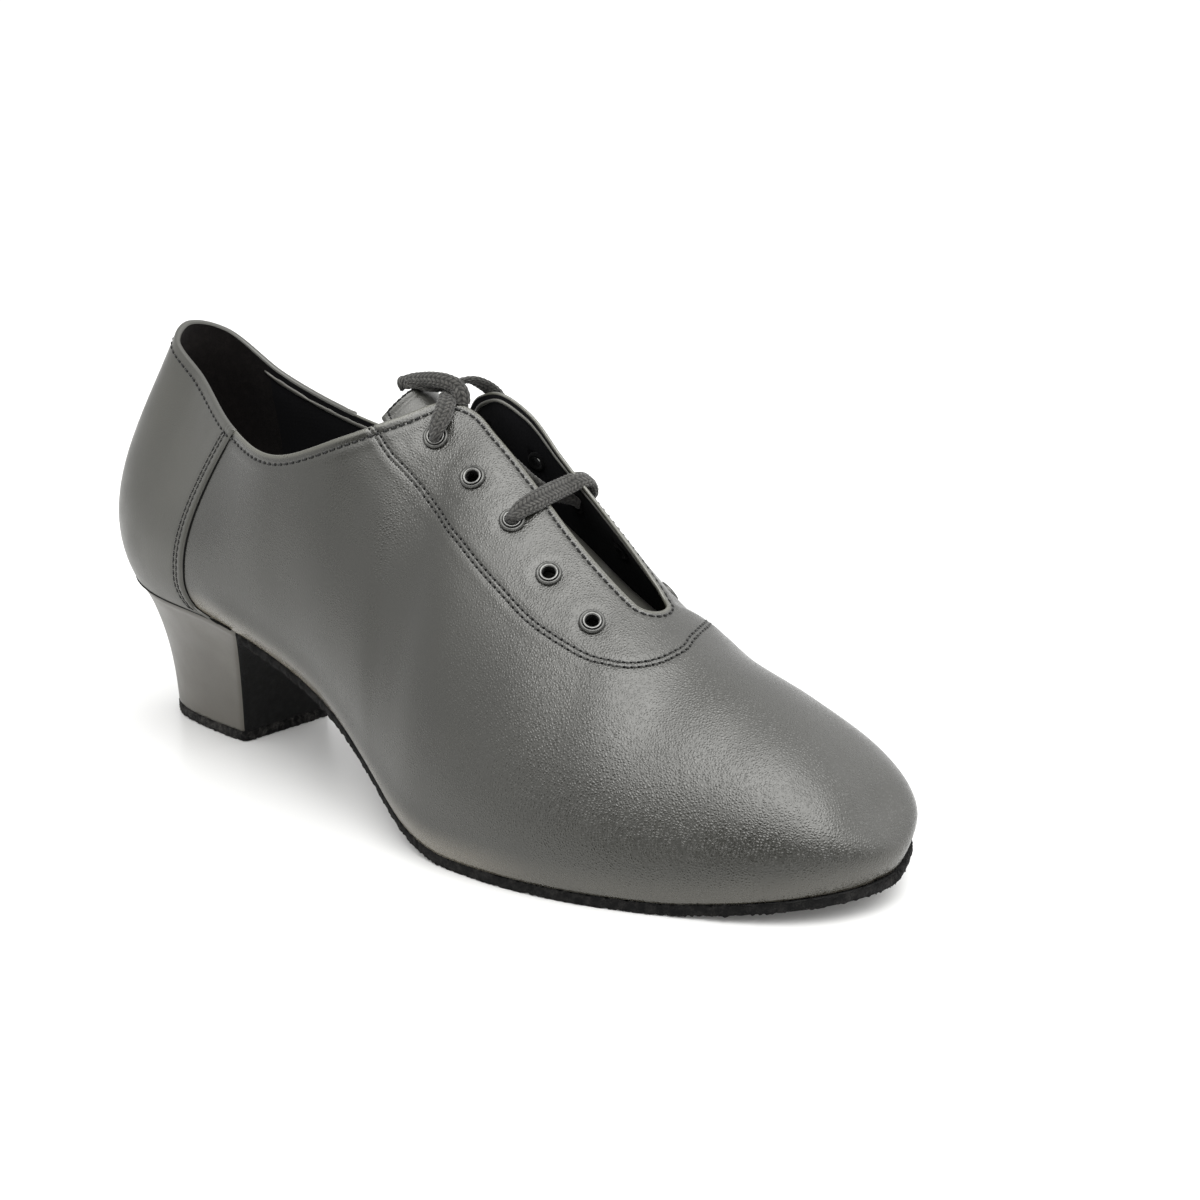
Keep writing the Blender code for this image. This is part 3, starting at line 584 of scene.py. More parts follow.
def enamel(name, colour, rough):
    """Blackened metal with a worn polish."""
    f = Finish(name, colour, rough, Metallic=0.85, Coat_Weight=0.2, Coat_Roughness=0.15)
    wear = f.noise(900.0, 3.0)
    f.colour(f.mix(f.span(wear, 0.4, 0.7, 0.0, 1.0), tuple(0.8 * c for c in colour), tuple(1.25 * c for c in colour)))
    f.roughness(f.span(wear, 0.3, 0.7, rough - 0.06, rough + 0.08))
    f.bump(wear, 0.08, 0.00005)
    return f.material


def yarn(name, colour, light, rough):
    """Braided yarn: heathered fibres along a knitted relief."""
    f = Finish(name, colour, rough, Specular_IOR_Level=0.2, Sheen_Weight=0.3, Sheen_Roughness=0.5)
    fleck = f.noise(1700.0, 3.0, 0.65)
    hair = f.noise(6500.0, 2.0, 0.6)
    dip = f.attribute("relief")
    shade = f.mix(f.span(fleck, 0.4, 0.66, 0.0, 1.0), colour, light)
    # painted shade: the dips of the braid's relief darken to a fifth of the colour
    f.colour(f.mix(f.span(dip, 0.1, 0.8, 0.95, 0.0), shade, tuple(0.2 * c for c in colour)))
    f.bump(f.math("ADD", hair, fleck), 0.5, 0.00012)
    return f.material


LEATHER = (0.0145, 0.0143, 0.0115)
upper_leather = leather("black_box_leather", LEATHER, 0.265, 0.9, seams=True)
panel_leather = leather("black_panel_leather", (0.028, 0.0275, 0.022), 0.40, 0.5)
heel_leather = leather("black_heel_leather", (0.046, 0.0405, 0.030), 0.42, 0.3)
tongue_leather = leather("black_tongue_leather", (0.030, 0.0295, 0.025), 0.40, 0.9)
lining = plain_weave("dark_lining", (0.0022, 0.0022, 0.0030), 0.85)
heel_grip = nap("brown_heel_lining", (0.007, 0.0058, 0.0055), (0.012, 0.0100, 0.0093), 0.85)
binding = leather("lining_edge", (0.10, 0.098, 0.088), 0.5, 0.2)
breast = nap("black_breast", (0.006, 0.006, 0.006), (0.012, 0.012, 0.012), 0.8)
suede = nap("black_suede", (0.005, 0.005, 0.005), (0.022, 0.021, 0.020), 0.95)
rubber = nap("black_heel_rubber", (0.005, 0.005, 0.005), (0.060, 0.057, 0.053), 0.9)
metal = enamel("blackened_metal", (0.085, 0.085, 0.080), 0.34)
# the blackened metal made twice as light: a painted highlight for the eyelets' inner roll
highlight_metal = enamel("metal_with_painted_highlight", (0.17, 0.17, 0.162), 0.36)
thread = yarn("black_thread", (0.006, 0.006, 0.006), (0.014, 0.014, 0.013), 0.75)
seam_thread = yarn("grey_thread", (0.026, 0.026, 0.024), (0.045, 0.045, 0.041), 0.65)
braid = yarn("black_braid", (0.036, 0.035, 0.032), (0.082, 0.080, 0.073), 0.85)
# near-black painted shade for needle holes, the gaps between pieces and the eyelets' grooves and bores
pit = nap("hole_shade_black", (0.002, 0.002, 0.002), (0.004, 0.004, 0.004), 0.9)


# ------------------------------------------------------------------ the lace
def strap(points, faces_to, widths, thicks, step=0.15, around=84, relief=0.24, pitch=1.2, columns=12):
    """Flat braid swept along a smooth route; faces_to turns its broad side."""
    p = np.array(points, float)
    s = arc(p)
    n = max(8, int(s[-1] / step))
    q = np.linspace(0, s[-1], n + 1)
    c = np.stack([spline(s, p[:, k], q) for k in range(3)], -1)
    t = unit(np.gradient(c, axis=0))
    f = np.array(faces_to, float)
    face = np.stack([np.interp(q, s, f[:, k]) for k in range(3)], -1)
    for _ in range(12):
        face[1:-1] = (face[:-2] + 2 * face[1:-1] + face[2:]) / 4
    face = unit(face - t * (face * t).sum(-1, keepdims=True))
    wide = np.cross(t, face)
    w = np.interp(q, s, widths) / 2
    h = np.interp(q, s, thicks) / 2
    angle = np.linspace(0, 2 * np.pi, around, endpoint=False)
    x, y = np.cos(angle), np.sin(angle)
    x, y = np.sign(x) * np.abs(x) ** 0.8, np.sign(y) * np.abs(y) ** 0.8
    run = arc(c)
    col = (angle / (2 * np.pi) * columns)[None]
    part = col % 1
    lean = np.where(np.floor(col) % 2 < 1, part, 1 - part)
    knit = np.abs(np.sin(np.pi * (run[:, None] / pitch + 0.85 * lean))) ** 0.7 * np.sin(np.pi * np.clip(part, 0.04, 0.96)) ** 0.5
    out = unit(wide[:, None] * (x * h.mean())[None, :, None] + face[:, None] * (y * w.mean())[None, :, None])
    ring = (c[:, None] + wide[:, None] * (w[:, None] * x[None])[..., None]
            + face[:, None] * (h[:, None] * y[None])[..., None] + out * ((knit - 0.5) * relief)[..., None])
    m = len(c)
    index = np.arange(m * around).reshape(m, around)
    index = np.hstack([index, index[:, :1]])
    faces = list(grid_quads(index, True))
    verts = np.vstack([ring.reshape(-1, 3), c[:1] - t[:1] * 0.3, c[-1:] + t[-1:] * 0.3])
    first, last = m * around, m * around + 1
    for k in range(around):
        faces.append((first, index[0, k], index[0, k + 1]))
        faces.append((last, index[-1, k + 1], index[-1, k]))
    return verts, faces, np.concatenate([knit.ravel(), [0.5, 0.5]]), c


LACE_COLUMNS = ("x", "y", "z", "face_x", "face_y", "face_z", "width", "thick")


def lay(name, rows, replaces=(), **finer):
    """A piece of lace along the rows of its table."""
    t = np.array(rows, float)
    verts, faces, relief, line = strap(t[:, :3], t[:, 3:6], t[:, 6], t[:, 7], **finer)
    obj = add_piece(name, verts, faces, [braid], replaces=replaces, attributes=dict(relief=relief))
    fix_outward(obj)
    return obj, line


def lay_lace():
    # lateral end: out of its eyelet, up over the flap, under the loop and down into the slot
    c, n = EYELETS[-1, 0]
    rows = [(*(c - n * 0.9), -0.45, -0.65, 0.6, 3.2, 2.5), (*(c + n * 1.0), -0.35, -0.70, 0.6, 3.8, 2.5),
            (122.2, -9.2, 98.9, 0.15, -0.88, 0.45, 4.6, 2.3), (122.1, -7.2, 101.3, 0.40, -0.80, 0.45, 4.9, 2.2),
            (120.8, -4.2, 103.9, 0.45, -0.70, 0.55, 4.8, 2.0), (119.2, -1.2, 105.3, 0.35, -0.45, 0.82, 4.5, 1.7),
            (119.2, 1.2, 105.4, 0.55, 0.10, 0.80, 4.2, 1.6), (120.6, 2.3, 103.7, 0.90, 0.15, 0.30, 4.0, 1.5),
            (121.8, 0.8, 101.0, 0.80, 0.55, 0.0, 3.8, 1.5), (122.6, -2.4, 98.4, 0.75, 0.50, -0.3, 3.6, 1.4),
            (123.2, -5.8, 96.0, 0.75, 0.50, -0.3, 3.4, 1.4)]
    cord, line = lay("lace_lateral", rows, ("lace_end_lateral",))
    # medial end: out of its eyelet, to the middle, a flat loop on the tongue, its end round the other strand
    c, n = EYELETS[1, 0]
    rows = [(*(c - n * 0.9), 0.0, -0.35, 0.9, 3.0, 2.5), (*(c + n * 1.2), 0.0, -0.35, 0.9, 3.4, 2.5),
            (123.6, 14.2, 98.4, 0.2, -0.95, -0.2, 4.0, 2.0), (123.0, 12.6, 103.8, 0.3, -0.8, -0.5, 4.4, 1.8),
            (121.0, 9.6, 106.9, 0.4, -0.4, -0.8, 4.4, 1.7), (119.0, 6.8, 108.2, 0.4, 0.1, -0.9, 4.2, 1.7),
            (117.2, 4.6, 107.7, 0.3, 0.3, -0.9, 4.0, 1.6), (115.2, 2.4, 106.6, 0.2, 0.5, -0.85, 3.8, 1.5),
            (112.8, -0.6, 106.4, 0.1, 0.30, -0.92, 3.6, 1.3), (109.4, -2.6, 107.2, 0.2, 0.30, -0.92, 3.6, 1.3),
            (106.9, -3.9, 106.8, 0.7, 0.30, -0.60, 3.6, 1.3), (106.0, -4.3, 107.2, 0.9, 0.20, 0.1, 3.6, 1.5),
            (107.2, -3.6, 108.0, 0.3, -0.60, 0.75, 3.6, 1.9), (110.9, -2.4, 108.7, 0.35, -0.78, 0.52, 3.7, 2.4),
            (115.3, -1.6, 109.0, 0.40, -0.78, 0.48, 3.8, 2.5), (118.5, -0.8, 108.6, 0.50, -0.76, 0.42, 3.9, 2.5),
            (120.9, -0.2, 107.5, 0.66, -0.68, 0.32, 4.1, 2.4), (122.3, -0.4, 105.9, 0.76, -0.64, 0.15, 4.5, 2.3),
            (122.6, -0.6, 103.6, 0.80, -0.58, 0.0, 4.6, 2.0)]
    cord, line = lay("lace_medial", rows, ("lace_end_medial", "lace_loop", "lace_knot"))
    # the bar over the slot, from eyelet to eyelet
    (c, n), (d, m) = EYELETS[-1, 2], EYELETS[1, 2]
    rows = [(*(c - n * 1.4), 0.1, 0.5, 0.8, 3.0, 2.5), (*(c + n * 0.9), 0.2, 0.3, 0.9, 3.4, 2.5),
            (148.9, -8.9, 81.7, 0.45, -0.40, 0.80, 4.6, 2.3), (149.8, -5.5, 83.0, 0.56, -0.40, 0.72, 5.2, 2.2),
            (150.2, -1.5, 83.9, 0.60, -0.40, 0.70, 5.2, 2.2), (150.5, 2.5, 84.6, 0.60, -0.40, 0.70, 5.2, 2.2),
            (150.8, 6.5, 85.2, 0.60, -0.34, 0.72, 5.1, 2.2), (151.6, 10.2, 86.0, 0.55, -0.1, 0.83, 5.0, 2.1),
            (152.0, 13.6, 85.6, 0.45, 0.5, 0.72, 4.6, 2.0), (151.0, 16.6, 82.2, 0.35, 0.85, 0.35, 4.0, 2.1),
            (*(d + m * 1.2), 0.3, 0.5, -0.2, 3.4, 2.4), (*(d - m * 1.4), 0.3, 0.5, -0.4, 3.0, 2.4)]
    lay("lace_crossing", rows, ("lace_bar",))
    # the two runs under the facings, from the bar's eyelets up to the top ones
    (c, n), (d, m) = EYELETS[1, 2], EYELETS[-1, 0]
    rows = [(*(c - n * 1.6), 0.5, 0.0, 0.8, 3.0, 2.2), (148.4, 10.6, 80.6, -0.4, 0.5, 0.7, 4.0, 2.0),
            (146.0, 5.8, 82.6, -0.5, 0.6, 0.6, 4.4, 1.6), (141.4, 3.0, 86.2, -0.3, 0.8, 0.5, 4.5, 1.5),
            (136.4, 1.4, 90.4, -0.3, 0.8, 0.5, 4.5, 1.5), (131.0, -1.0, 93.2, -0.2, 0.7, 0.6, 4.4, 1.6),
            (126.0, -4.4, 93.4, 0.2, 0.4, 0.8, 3.8, 1.8), (*(d - m * 3.2), 0.4, -0.5, 0.8, 3.2, 2.2),
            (*(d - m * 1.2), 0.4, -0.3, 0.8, 3.0, 2.2)]
    lay("lace_run_medial", rows, step=0.24, around=28)
    (c, n), (d, m) = EYELETS[-1, 2], EYELETS[1, 0]
    rows = [(*(c - n * 1.6), 0.5, 0.0, 0.8, 3.0, 2.2), (*(c - n * 4.2), 0.5, 0.0, 0.8, 3.6, 2.0),
            (144.4, -3.4, 79.8, 0.5, 0.2, 0.8, 4.4, 1.8), (138.6, 1.6, 85.4, 0.5, 0.3, 0.8, 4.4, 1.8),
            (131.6, 6.0, 89.4, 0.5, 0.4, 0.75, 4.4, 1.8), (*(d - m * 4.0), 0.4, 0.3, 0.8, 3.4, 2.0),
            (*(d - m * 1.2), 0.4, 0.3, 0.8, 3.0, 2.2)]
    lay("lace_run_lateral", rows, step=0.24, around=28)


# ------------------------------------------------------------------ the upper
ROWS = 100
INNER = np.unique(np.concatenate([np.arange(0, ROWS, 6), [ROWS - 8, ROWS - 4, ROWS - 1]]))


def upper_stations():
    n = round((END - SLOT_ROUND - 105) / 0.62)
    return np.concatenate([
        np.linspace(0, 105, 88)[:-1], np.linspace(105, END - SLOT_ROUND, n + 1)[:-1],
        END - SLOT_ROUND + SLOT_ROUND * np.sin(np.linspace(0, np.pi / 2, 15)),
        np.linspace(END, 216, 25)[1:], np.linspace(216, STATION[-1], 60)[1:]])


def facing_line(side):
    """Middle of the double row on one side, collar to ridge: points and normals."""
    end = FACING_END[side]
    a = [row[0] for row in FACING] + [row[0] for row in end]
    behind = list(share_behind([row[0] for row in FACING], side, [row[1] for row in FACING]))
    half = slot_half([row[0] for row in end], side)
    behind += list(share_behind([row[0] for row in end], side, np.array([row[1] for row in end]) - half))
    t = np.arange(len(a), dtype=float)
    fine = np.linspace(0, t[-1], 700)
    aa = spline(t, a, fine)
    rr = np.minimum(spline(t, behind, fine), 1.0)
    return shell(aa, rr, side), normals(aa, np.minimum(rr, 0.999), side)


# Soft hollows and swells of the worn leather: where (x, y, z), the way they run, half length,
# half width, depth in millimetres (a ridge is negative).
FOLDS_COLUMNS = ("x", "y", "z", "along_x", "along_y", "along_z", "half_length", "half_width", "depth")
FOLDS = (
    (88.0, -30.0, 62.0, 0.3, 0.0, -1.0, 20.0, 9.0, 0.35),
    (108.0, -27.0, 78.0, 0.6, 0.0, -0.8, 16.0, 6.0, 0.30),
    (152.0, -32.0, 45.0, 0.5, -0.4, -0.8, 16.0, 7.0, 0.22),
    (168.0, -30.0, 42.0, 0.4, -0.5, -0.8, 15.0, 6.0, -0.16),
    (196.0, -16.0, 45.0, 0.2, -0.8, -0.5, 14.0, 5.0, 0.18),
    (206.0, -12.0, 43.0, 0.2, -0.8, -0.4, 13.0, 4.5, -0.12),
    (98.0, 24.0, 62.0, 0.3, 0.0, -1.0, 18.0, 8.0, 0.35),
    (160.0, 30.0, 44.0, 0.4, 0.5, -0.8, 15.0, 7.0, 0.25),
)


def tip_lift(p):
    """The sole springs a little higher on the medial side of the tip."""
    return 3.0 * ease(p[..., 1], 3.0, 20.0) * ease(p[..., 0], 212.0, 240.0)


def round_tip(points):
    """Carries the leather's overhang on round the tip of the toe, where the sections run out."""
    u = np.linspace(0.5, 1.0, 500)
    left, right = (outline(u, side)[0] for side in (-1, 1))
    tip = (left[-1] + right[-1]) / 2
    x = tip[0] - 36.0
    hub = np.array((x, 0.5 * (np.interp(x, left[:, 0], left[:, 1]) + np.interp(x, right[:, 0], right[:, 1]))))
    turn = math.atan2(tip[1] - hub[1], tip[0] - hub[0])

    def polar(p):
        d = p[..., :2] - hub
        return np.degrees(np.arctan2(d[..., 1], d[..., 0]) - turn), np.hypot(d[..., 0], d[..., 1])
    angle, reach = polar(np.vstack([left, right[::-1]]))
    order = np.argsort(angle)
    ring = angle[order], reach[order]
    angle, reach = polar(points)
    rise = points[:, 2] - feather_z(points[:, 0])
    share = reach / np.interp(angle, *ring)
    front = points[:, 0] > hub[0]
    limit = 36.0
    levels = np.linspace(0.0, 18.0, 37)
    sides = []
    for sign in (-1, 1):
        near = (abs(angle - sign * limit) < 2.0) & (rise < 20) & front
        r, q = rise[near], share[near]
        sides.append(np.array([np.average(q, weights=np.exp(-((r - h) / 0.6) ** 2) + 1e-9) for h in levels]))
        sides[-1][0] = 1.0
    w = np.clip((angle / limit + 1) / 2, 0, 1)
    want = (1 - w) * np.interp(rise, levels, sides[0]) + w * np.interp(rise, levels, sides[1])
    blend = (1 - ease(rise, 6.0, 16.0)) * (1 - ease(abs(angle), limit - 12.0, limit)) * front
    grown = share + blend * (want - share)
    out = points.copy()
    out[:, :2] = hub + (points[:, :2] - hub) * (grown / np.maximum(share, 1e-6))[:, None]
    out[:, 2] += tip_lift(out) * (1 - ease(rise, 2.0, 36.0))
    return out


def fair_toe(points, quads, weight, hold, rounds=140):
    """Evens the dome of the toe out without shrinking it; the feather line stays."""
    ends = np.vstack([quads[:, [0, 1]], quads[:, [1, 2]], quads[:, [2, 3]], quads[:, [3, 0]]])
    ends = ends[(weight[ends] > 0).any(1) & (ends[:, 0] != ends[:, 1])]
    used = np.unique(ends)
    new = np.full(len(points), -1)
    new[used] = np.arange(len(used))
    e = new[ends]
    p = points[used].copy()
    w = weight[used].copy()
    w[new[np.intersect1d(hold, used)]] = 0.0
    count = np.maximum(np.bincount(e[:, 0], minlength=len(p)) + np.bincount(e[:, 1], minlength=len(p)), 1)[:, None]

    def pull(v):
        total = np.stack([np.bincount(e[:, 0], v[e[:, 1], k], len(v)) + np.bincount(e[:, 1], v[e[:, 0], k], len(v))
                          for k in range(3)], -1)
        return total / count - v
    for _ in range(rounds):
        for step in (0.55, -0.565):
            p = p + step * w[:, None] * pull(p)
    out = points.copy()
    out[used] = p
    return out


def row_distance(a):
    """How far the edge stitching keeps from the rim: wider along the collar than along the slot."""
    return 2.1 - 0.75 * ease(a, 126.0, 138.0)


def make_upper():
    a = upper_stations()
    end = int(np.argmin(abs(a - END)))
    w = 1 - (1 - np.linspace(0, 1, ROWS)) ** 1.25
    index, pts, stations = {}, [], []
    count = 0
    for side in (-1, 1):
        shift = (0.36 - 0.40 * ease(a, 118.0, 130.0)) * np.clip((END - a) / 2.0, 0, 1) * (a < END)
        edge = share_behind(a, side, shift)
        r = edge[:, None] * w[None]
        grid = shell(a[:, None], r, side)
        ids = np.arange(count, count + grid.shape[0] * ROWS).reshape(len(a), ROWS)
        if side > 0:
            shared = np.zeros_like(ids, bool)
            shared[0] = True
            shared[end:, -1] = True
            fresh = np.cumsum(~shared.ravel()).reshape(ids.shape) - 1 + count
            ids = np.where(shared, index[-1], fresh)
            keep = ~shared
        else:
            keep = np.ones_like(ids, bool)
        pts.append(grid[keep])
        stations.append(np.broadcast_to(a[:, None], ids.shape)[keep])
        count += int(keep.sum())
        index[side] = ids
    base = np.vstack(pts)
    outer = np.vstack([grid_quads(index[-1]), grid_quads(index[1], True)])
    hold = np.concatenate([index[-1][:, 0], index[1][:, 0], index[-1][-1], index[1][-1]])
    base = fair_toe(round_tip(base), outer, ease(np.concatenate(stations), 238.0, 252.0), hold)
    nrm = vertex_normals(base, outer)

    loop = np.concatenate([index[-1][: end + 1, -1], index[1][1:end, -1][::-1]])
    below = np.concatenate([index[-1][: end + 1, -2], index[1][1:end, -2][::-1]])
    edge_line = base[loop]

    def tree(points):
        made = KDTree(len(points))
        for k, p in enumerate(points):
            made.insert(p, k)
        made.balance()
        return made
    closed = np.vstack([edge_line, edge_line[:1]])
    s = arc(closed)
    q = np.linspace(0, s[-1], 1600)
    edge_fine = np.stack([np.interp(q, s, closed[:, k]) for k in range(3)], -1)
    edge_tree = tree(edge_fine)
    edge_mm = np.array([edge_tree.find(p)[2] for p in base])
    seam = np.vstack([facing_line(-1)[0], facing_line(1)[0][::-1]])
    seam_tree = tree(seam)
    tangent = unit(np.gradient(seam, axis=0))
    facing_mm = np.empty(len(base))
    for k, p in enumerate(base):
        _, j, d = seam_tree.find(p)
        facing_mm[k] = d * (1 if np.dot(np.cross(tangent[j], nrm[k]), p - seam[j]) > 0 else -1)

    row_mm = edge_mm - row_distance(np.concatenate(stations))
    lift = -0.14 * bell(row_mm, 0.5) + 0.08 * bell(row_mm - 1.6, 1.2) + 0.06 * bell(edge_mm - 0.6, 0.5)
    lift += -0.14 * (bell(facing_mm - 0.62, 0.45) + bell(facing_mm + 0.62, 0.45)) + 0.10 * bell(facing_mm, 0.4)
    lift += 0.10 * bell(facing_mm - 2.2, 1.1) + 0.06 * bell(facing_mm + 2.2, 1.2)
    for c, n in EYELETS.values():
        d = np.linalg.norm(base - c, axis=1)
        lift += -0.28 * bell(d, 3.9) + 0.08 * bell(d - 5.6, 1.4)
    for row in FOLDS:
        v = base - np.array(row[:3])
        way = unit(np.array(row[3:6]))
        along = v @ way
        across = np.linalg.norm(v - along[:, None] * way, axis=1)
        lift -= row[8] * bell(along, row[6]) * bell(across, row[7])
    grain = 0.4 + 0.6 * np.maximum(ease(base[:, 0], 130.0, 175.0), ease(base[:, 0], 112.0, 124.0) * ease(base[:, 2], 62.0, 84.0))
    rise = base[:, 2] - feather_z(base[:, 0])
    station = np.concatenate(stations)
    # painted floor bounce: strongest at the feather line, gone 8.5 mm up, along the quarters and arch, weaker at the
    # forepart
    painted_bounce = (1 - ease(rise, 0.5, 8.5)) * ease(station, 40.0, 56.0) * (1 - 0.8 * ease(station, 150.0, 200.0))
    lift += 0.9 * bell(rise - 5.5, 4.0) * ease(station, 54.0, 68.0) * (1 - ease(station, 140.0, 185.0))
    lift *= ease(edge_mm, 0.0, 0.5)
    face = base + nrm * lift[:, None]

    # rolled rim, then the inner face
    t = unit(np.roll(edge_line, -1, 0) - np.roll(edge_line, 1, 0))
    n = nrm[loop]
    down = np.cross(t, n)
    down *= np.sign((down * (base[below] - edge_line)).sum(-1, keepdims=True))
    verts = [face]
    rings = [loop]
    total = len(face)
    for deg in (25, 50, 75, 100, 125, 150):
        phi = math.radians(deg)
        verts.append(edge_line - n * (RIM / 2) * (1 - math.cos(phi)) - down * 0.42 * math.sin(phi))
        rings.append(np.arange(total, total + len(loop)))
        total += len(loop)
    inside = {}
    inner_pts = []
    for side in (-1, 1):
        ids = index[side][:, INNER][:-1]
        fresh = np.full(ids.shape, -1)
        for i in range(ids.shape[0]):
            for j in range(ids.shape[1]):
                if side > 0 and (i == 0 or (j == len(INNER) - 1 and i >= end)):
                    fresh[i, j] = inside[-1][i, j]
                else:
                    fresh[i, j] = total
                    inner_pts.append(ids[i, j])
                    total += 1
        inside[side] = fresh
    inner_pts = np.array(inner_pts)
    wall = RIM + (WALL - RIM) * ease(edge_mm[inner_pts], 0.0, 8.0)
    low = base[inner_pts] - nrm[inner_pts] * wall[:, None]
    verts.append(low)
    rings.append(np.concatenate([inside[-1][: end + 1, -1], inside[1][1:end, -1][::-1]]))
    faces = [list(f) for f in outer]
    kind = [0] * len(faces)
    for one, two in zip(rings[:-1], rings[1:]):
        strip = np.stack([one, np.roll(one, -1), np.roll(two, -1), two], -1)
        faces += [list(f) for f in strip]
        kind += [0] * len(strip)
    for side, flip in ((-1, True), (1, False)):
        quads = grid_quads(inside[side], flip)
        faces += [list(f) for f in quads]
        kind += np.where(np.repeat(a[:-2], len(INNER) - 1) < 28.0, 2, 1).tolist()
        # bottom strip and the toe tip, where the inner face closes on the outer one
        o, i = index[side][:-1, 0], inside[side][:, 0]
        strip = np.stack([o[:-1], i[:-1], i[1:], o[1:]], -1)
        strip = strip if side < 0 else strip[:, ::-1]
        faces += [list(f) for f in strip]
        kind += [1] * len(strip)
        tip = [index[side][-2, 0], inside[side][-1, 0], index[side][-1, 0]]
        faces.append(tip if side < 0 else tip[::-1])
        kind.append(1)
        for j in range(len(INNER) - 1):
            outer_run = list(index[side][-1, INNER[j]: INNER[j + 1] + 1])
            ring = [inside[side][-1, j], inside[side][-1, j + 1]] + outer_run[::-1]
            faces.append(ring if side < 0 else ring[::-1])
            kind.append(1)
    faces = clean(faces)
    verts = np.vstack(verts)
    extra = len(verts) - len(face)
    attributes = dict(edge_mm=np.concatenate([edge_mm, np.zeros(extra)]),
                      facing_mm=np.concatenate([facing_mm, np.full(extra, 50.0)]),
                      row_mm=np.concatenate([row_mm, np.full(extra, 50.0)]),
                      grain=np.concatenate([grain, np.full(extra, 0.4)]),
                      painted_bounce=np.concatenate([painted_bounce, np.zeros(extra)]))
    obj = add_piece("upper_leather", verts, faces, [upper_leather, lining, heel_grip], kind, ("upper",), attributes)
    edge = dict(points=edge_line, normal=n, down=down, station=np.concatenate([a[: end + 1], a[1:end][::-1]]),
                medial=np.arange(len(loop)) > end)
    return obj, face, outer, edge, index, end


def cut_eyelet_holes(obj):
    """Bores of the ten eyelets, as one cutter of closed tubes."""
    verts, faces = [], []
    count = 0
    for c, n in EYELETS.values():
        x = unit(np.cross(n, (0.2, 0.9, 0.3)))
        y = np.cross(n, x)
        ring = [x * 2.2 * math.cos(t) + y * 2.2 * math.sin(t) for t in np.linspace(0, 2 * np.pi, 20, endpoint=False)]
        verts += [c + n * 4 + v for v in ring] + [c - n * 5 + v for v in ring]
        top = list(range(count, count + 20))
        low = list(range(count + 20, count + 40))
        faces += [top, low[::-1]]
        faces += [[top[k], low[k], low[(k + 1) % 20], top[(k + 1) % 20]] for k in range(20)]
        count += 40
    mesh = bpy.data.meshes.new("holes")
    mesh.from_pydata(place(np.array(verts)).tolist(), [], faces)
    cutter = bpy.data.objects.new("holes", mesh)
    bpy.context.scene.collection.objects.link(cutter)
    fix_outward(cutter)
    cut = obj.modifiers.new("holes", "BOOLEAN")
    cut.operation = "DIFFERENCE"
    cut.solver = "MANIFOLD"
    cut.object = cutter
    bpy.context.view_layer.update()
    graph = bpy.context.evaluated_depsgraph_get()
    made = bpy.data.meshes.new_from_object(obj.evaluated_get(graph), preserve_all_data_layers=True, depsgraph=graph)
    obj.modifiers.clear()
    old = obj.data
    obj.data = made
    made.name = "upper_leather"
    bpy.data.meshes.remove(old)
    bpy.data.objects.remove(cutter, do_unlink=True)
    bpy.data.meshes.remove(mesh)


def tidy(obj):
    """Coincident points joined, and faces without area taken out."""
    mesh = bmesh.new()
    mesh.from_mesh(obj.data)
    bmesh.ops.remove_doubles(mesh, verts=mesh.verts, dist=1e-6)
    bmesh.ops.dissolve_degenerate(mesh, edges=mesh.edges, dist=5e-6)
    mesh.to_mesh(obj.data)
    mesh.free()


# ------------------------------------------------------------------ back panel
def panel_edge(r):
    rows = np.array(PANEL)
    return spline(rows[:, 0], rows[:, 1], r)


def make_back_panel():
    thick = 0.75
    w = np.linspace(0, 1, 64)
    s = np.concatenate([np.linspace(0, 0.93, 60), 1 - np.linspace(0.068, 0, 26) ** 1.0])
    tops, lows = [], []
    for side in (-1, 1):
        r = w
        front = panel_edge(r)
        a = s[:, None] * front[None]
        edge = share_behind(s * 57.0, side, 0.36)
        rr = r[None] * edge[:, None]
        p = shell(a, rr, side)
        n = normals(a, np.clip(rr, 0.004, 0.996), side)
        t = (1 - s)[:, None] * front[None]
        lift = thick * np.sqrt(np.clip(1 - (1 - np.clip(t / 0.85, 0, 1)) ** 2, 0, 1)) - 0.10 * (t < 0.05)
        # the two stitched rows press in, and the band in front of them stays full
        lift = lift - 0.12 * bell(t - 2.3, 0.5) - 0.12 * bell(t - 3.6, 0.5) + 0.10 * bell(t - 1.1, 0.7)
        tip = p[:, -1]
        up = unit(p[:, -1] - p[:, -3])
        rim = []
        for deg in (20, 40, 60, 80, 100, 120, 140, 160, 178):
            phi = math.radians(deg)
            radius = (RIM + lift[:, -1] + 0.08) / 2
            rim.append(tip + n[:, -1] * (lift[:, -1] - radius * (1 - math.cos(phi)))[:, None] + up * ((0.46 + 0.3 * np.clip(lift[:, -1:], 0, 1)) * math.sin(phi)))
        rim_low = [tip - n[:, -1] * 0.5 for _ in rim]
        press = -0.12 * bell(np.linalg.norm(p - tip[:, None], axis=2) - 2.1, 0.5)
        top = p + n * (lift + press)[..., None]
        low = p - n * 0.5
        tops.append(np.concatenate([top, np.stack(rim, 1)], 1))
        lows.append(np.concatenate([low, np.stack(rim_low, 1)], 1))
    top = np.concatenate([tops[0][::-1], tops[1][1:]], 0)
    low = np.concatenate([lows[0][::-1], lows[1][1:]], 0)
    verts, faces, _ = two_layers(top, low)
    obj = add_piece("back_panel", verts, faces, [panel_leather])
    fix_outward(obj)
    return obj, top


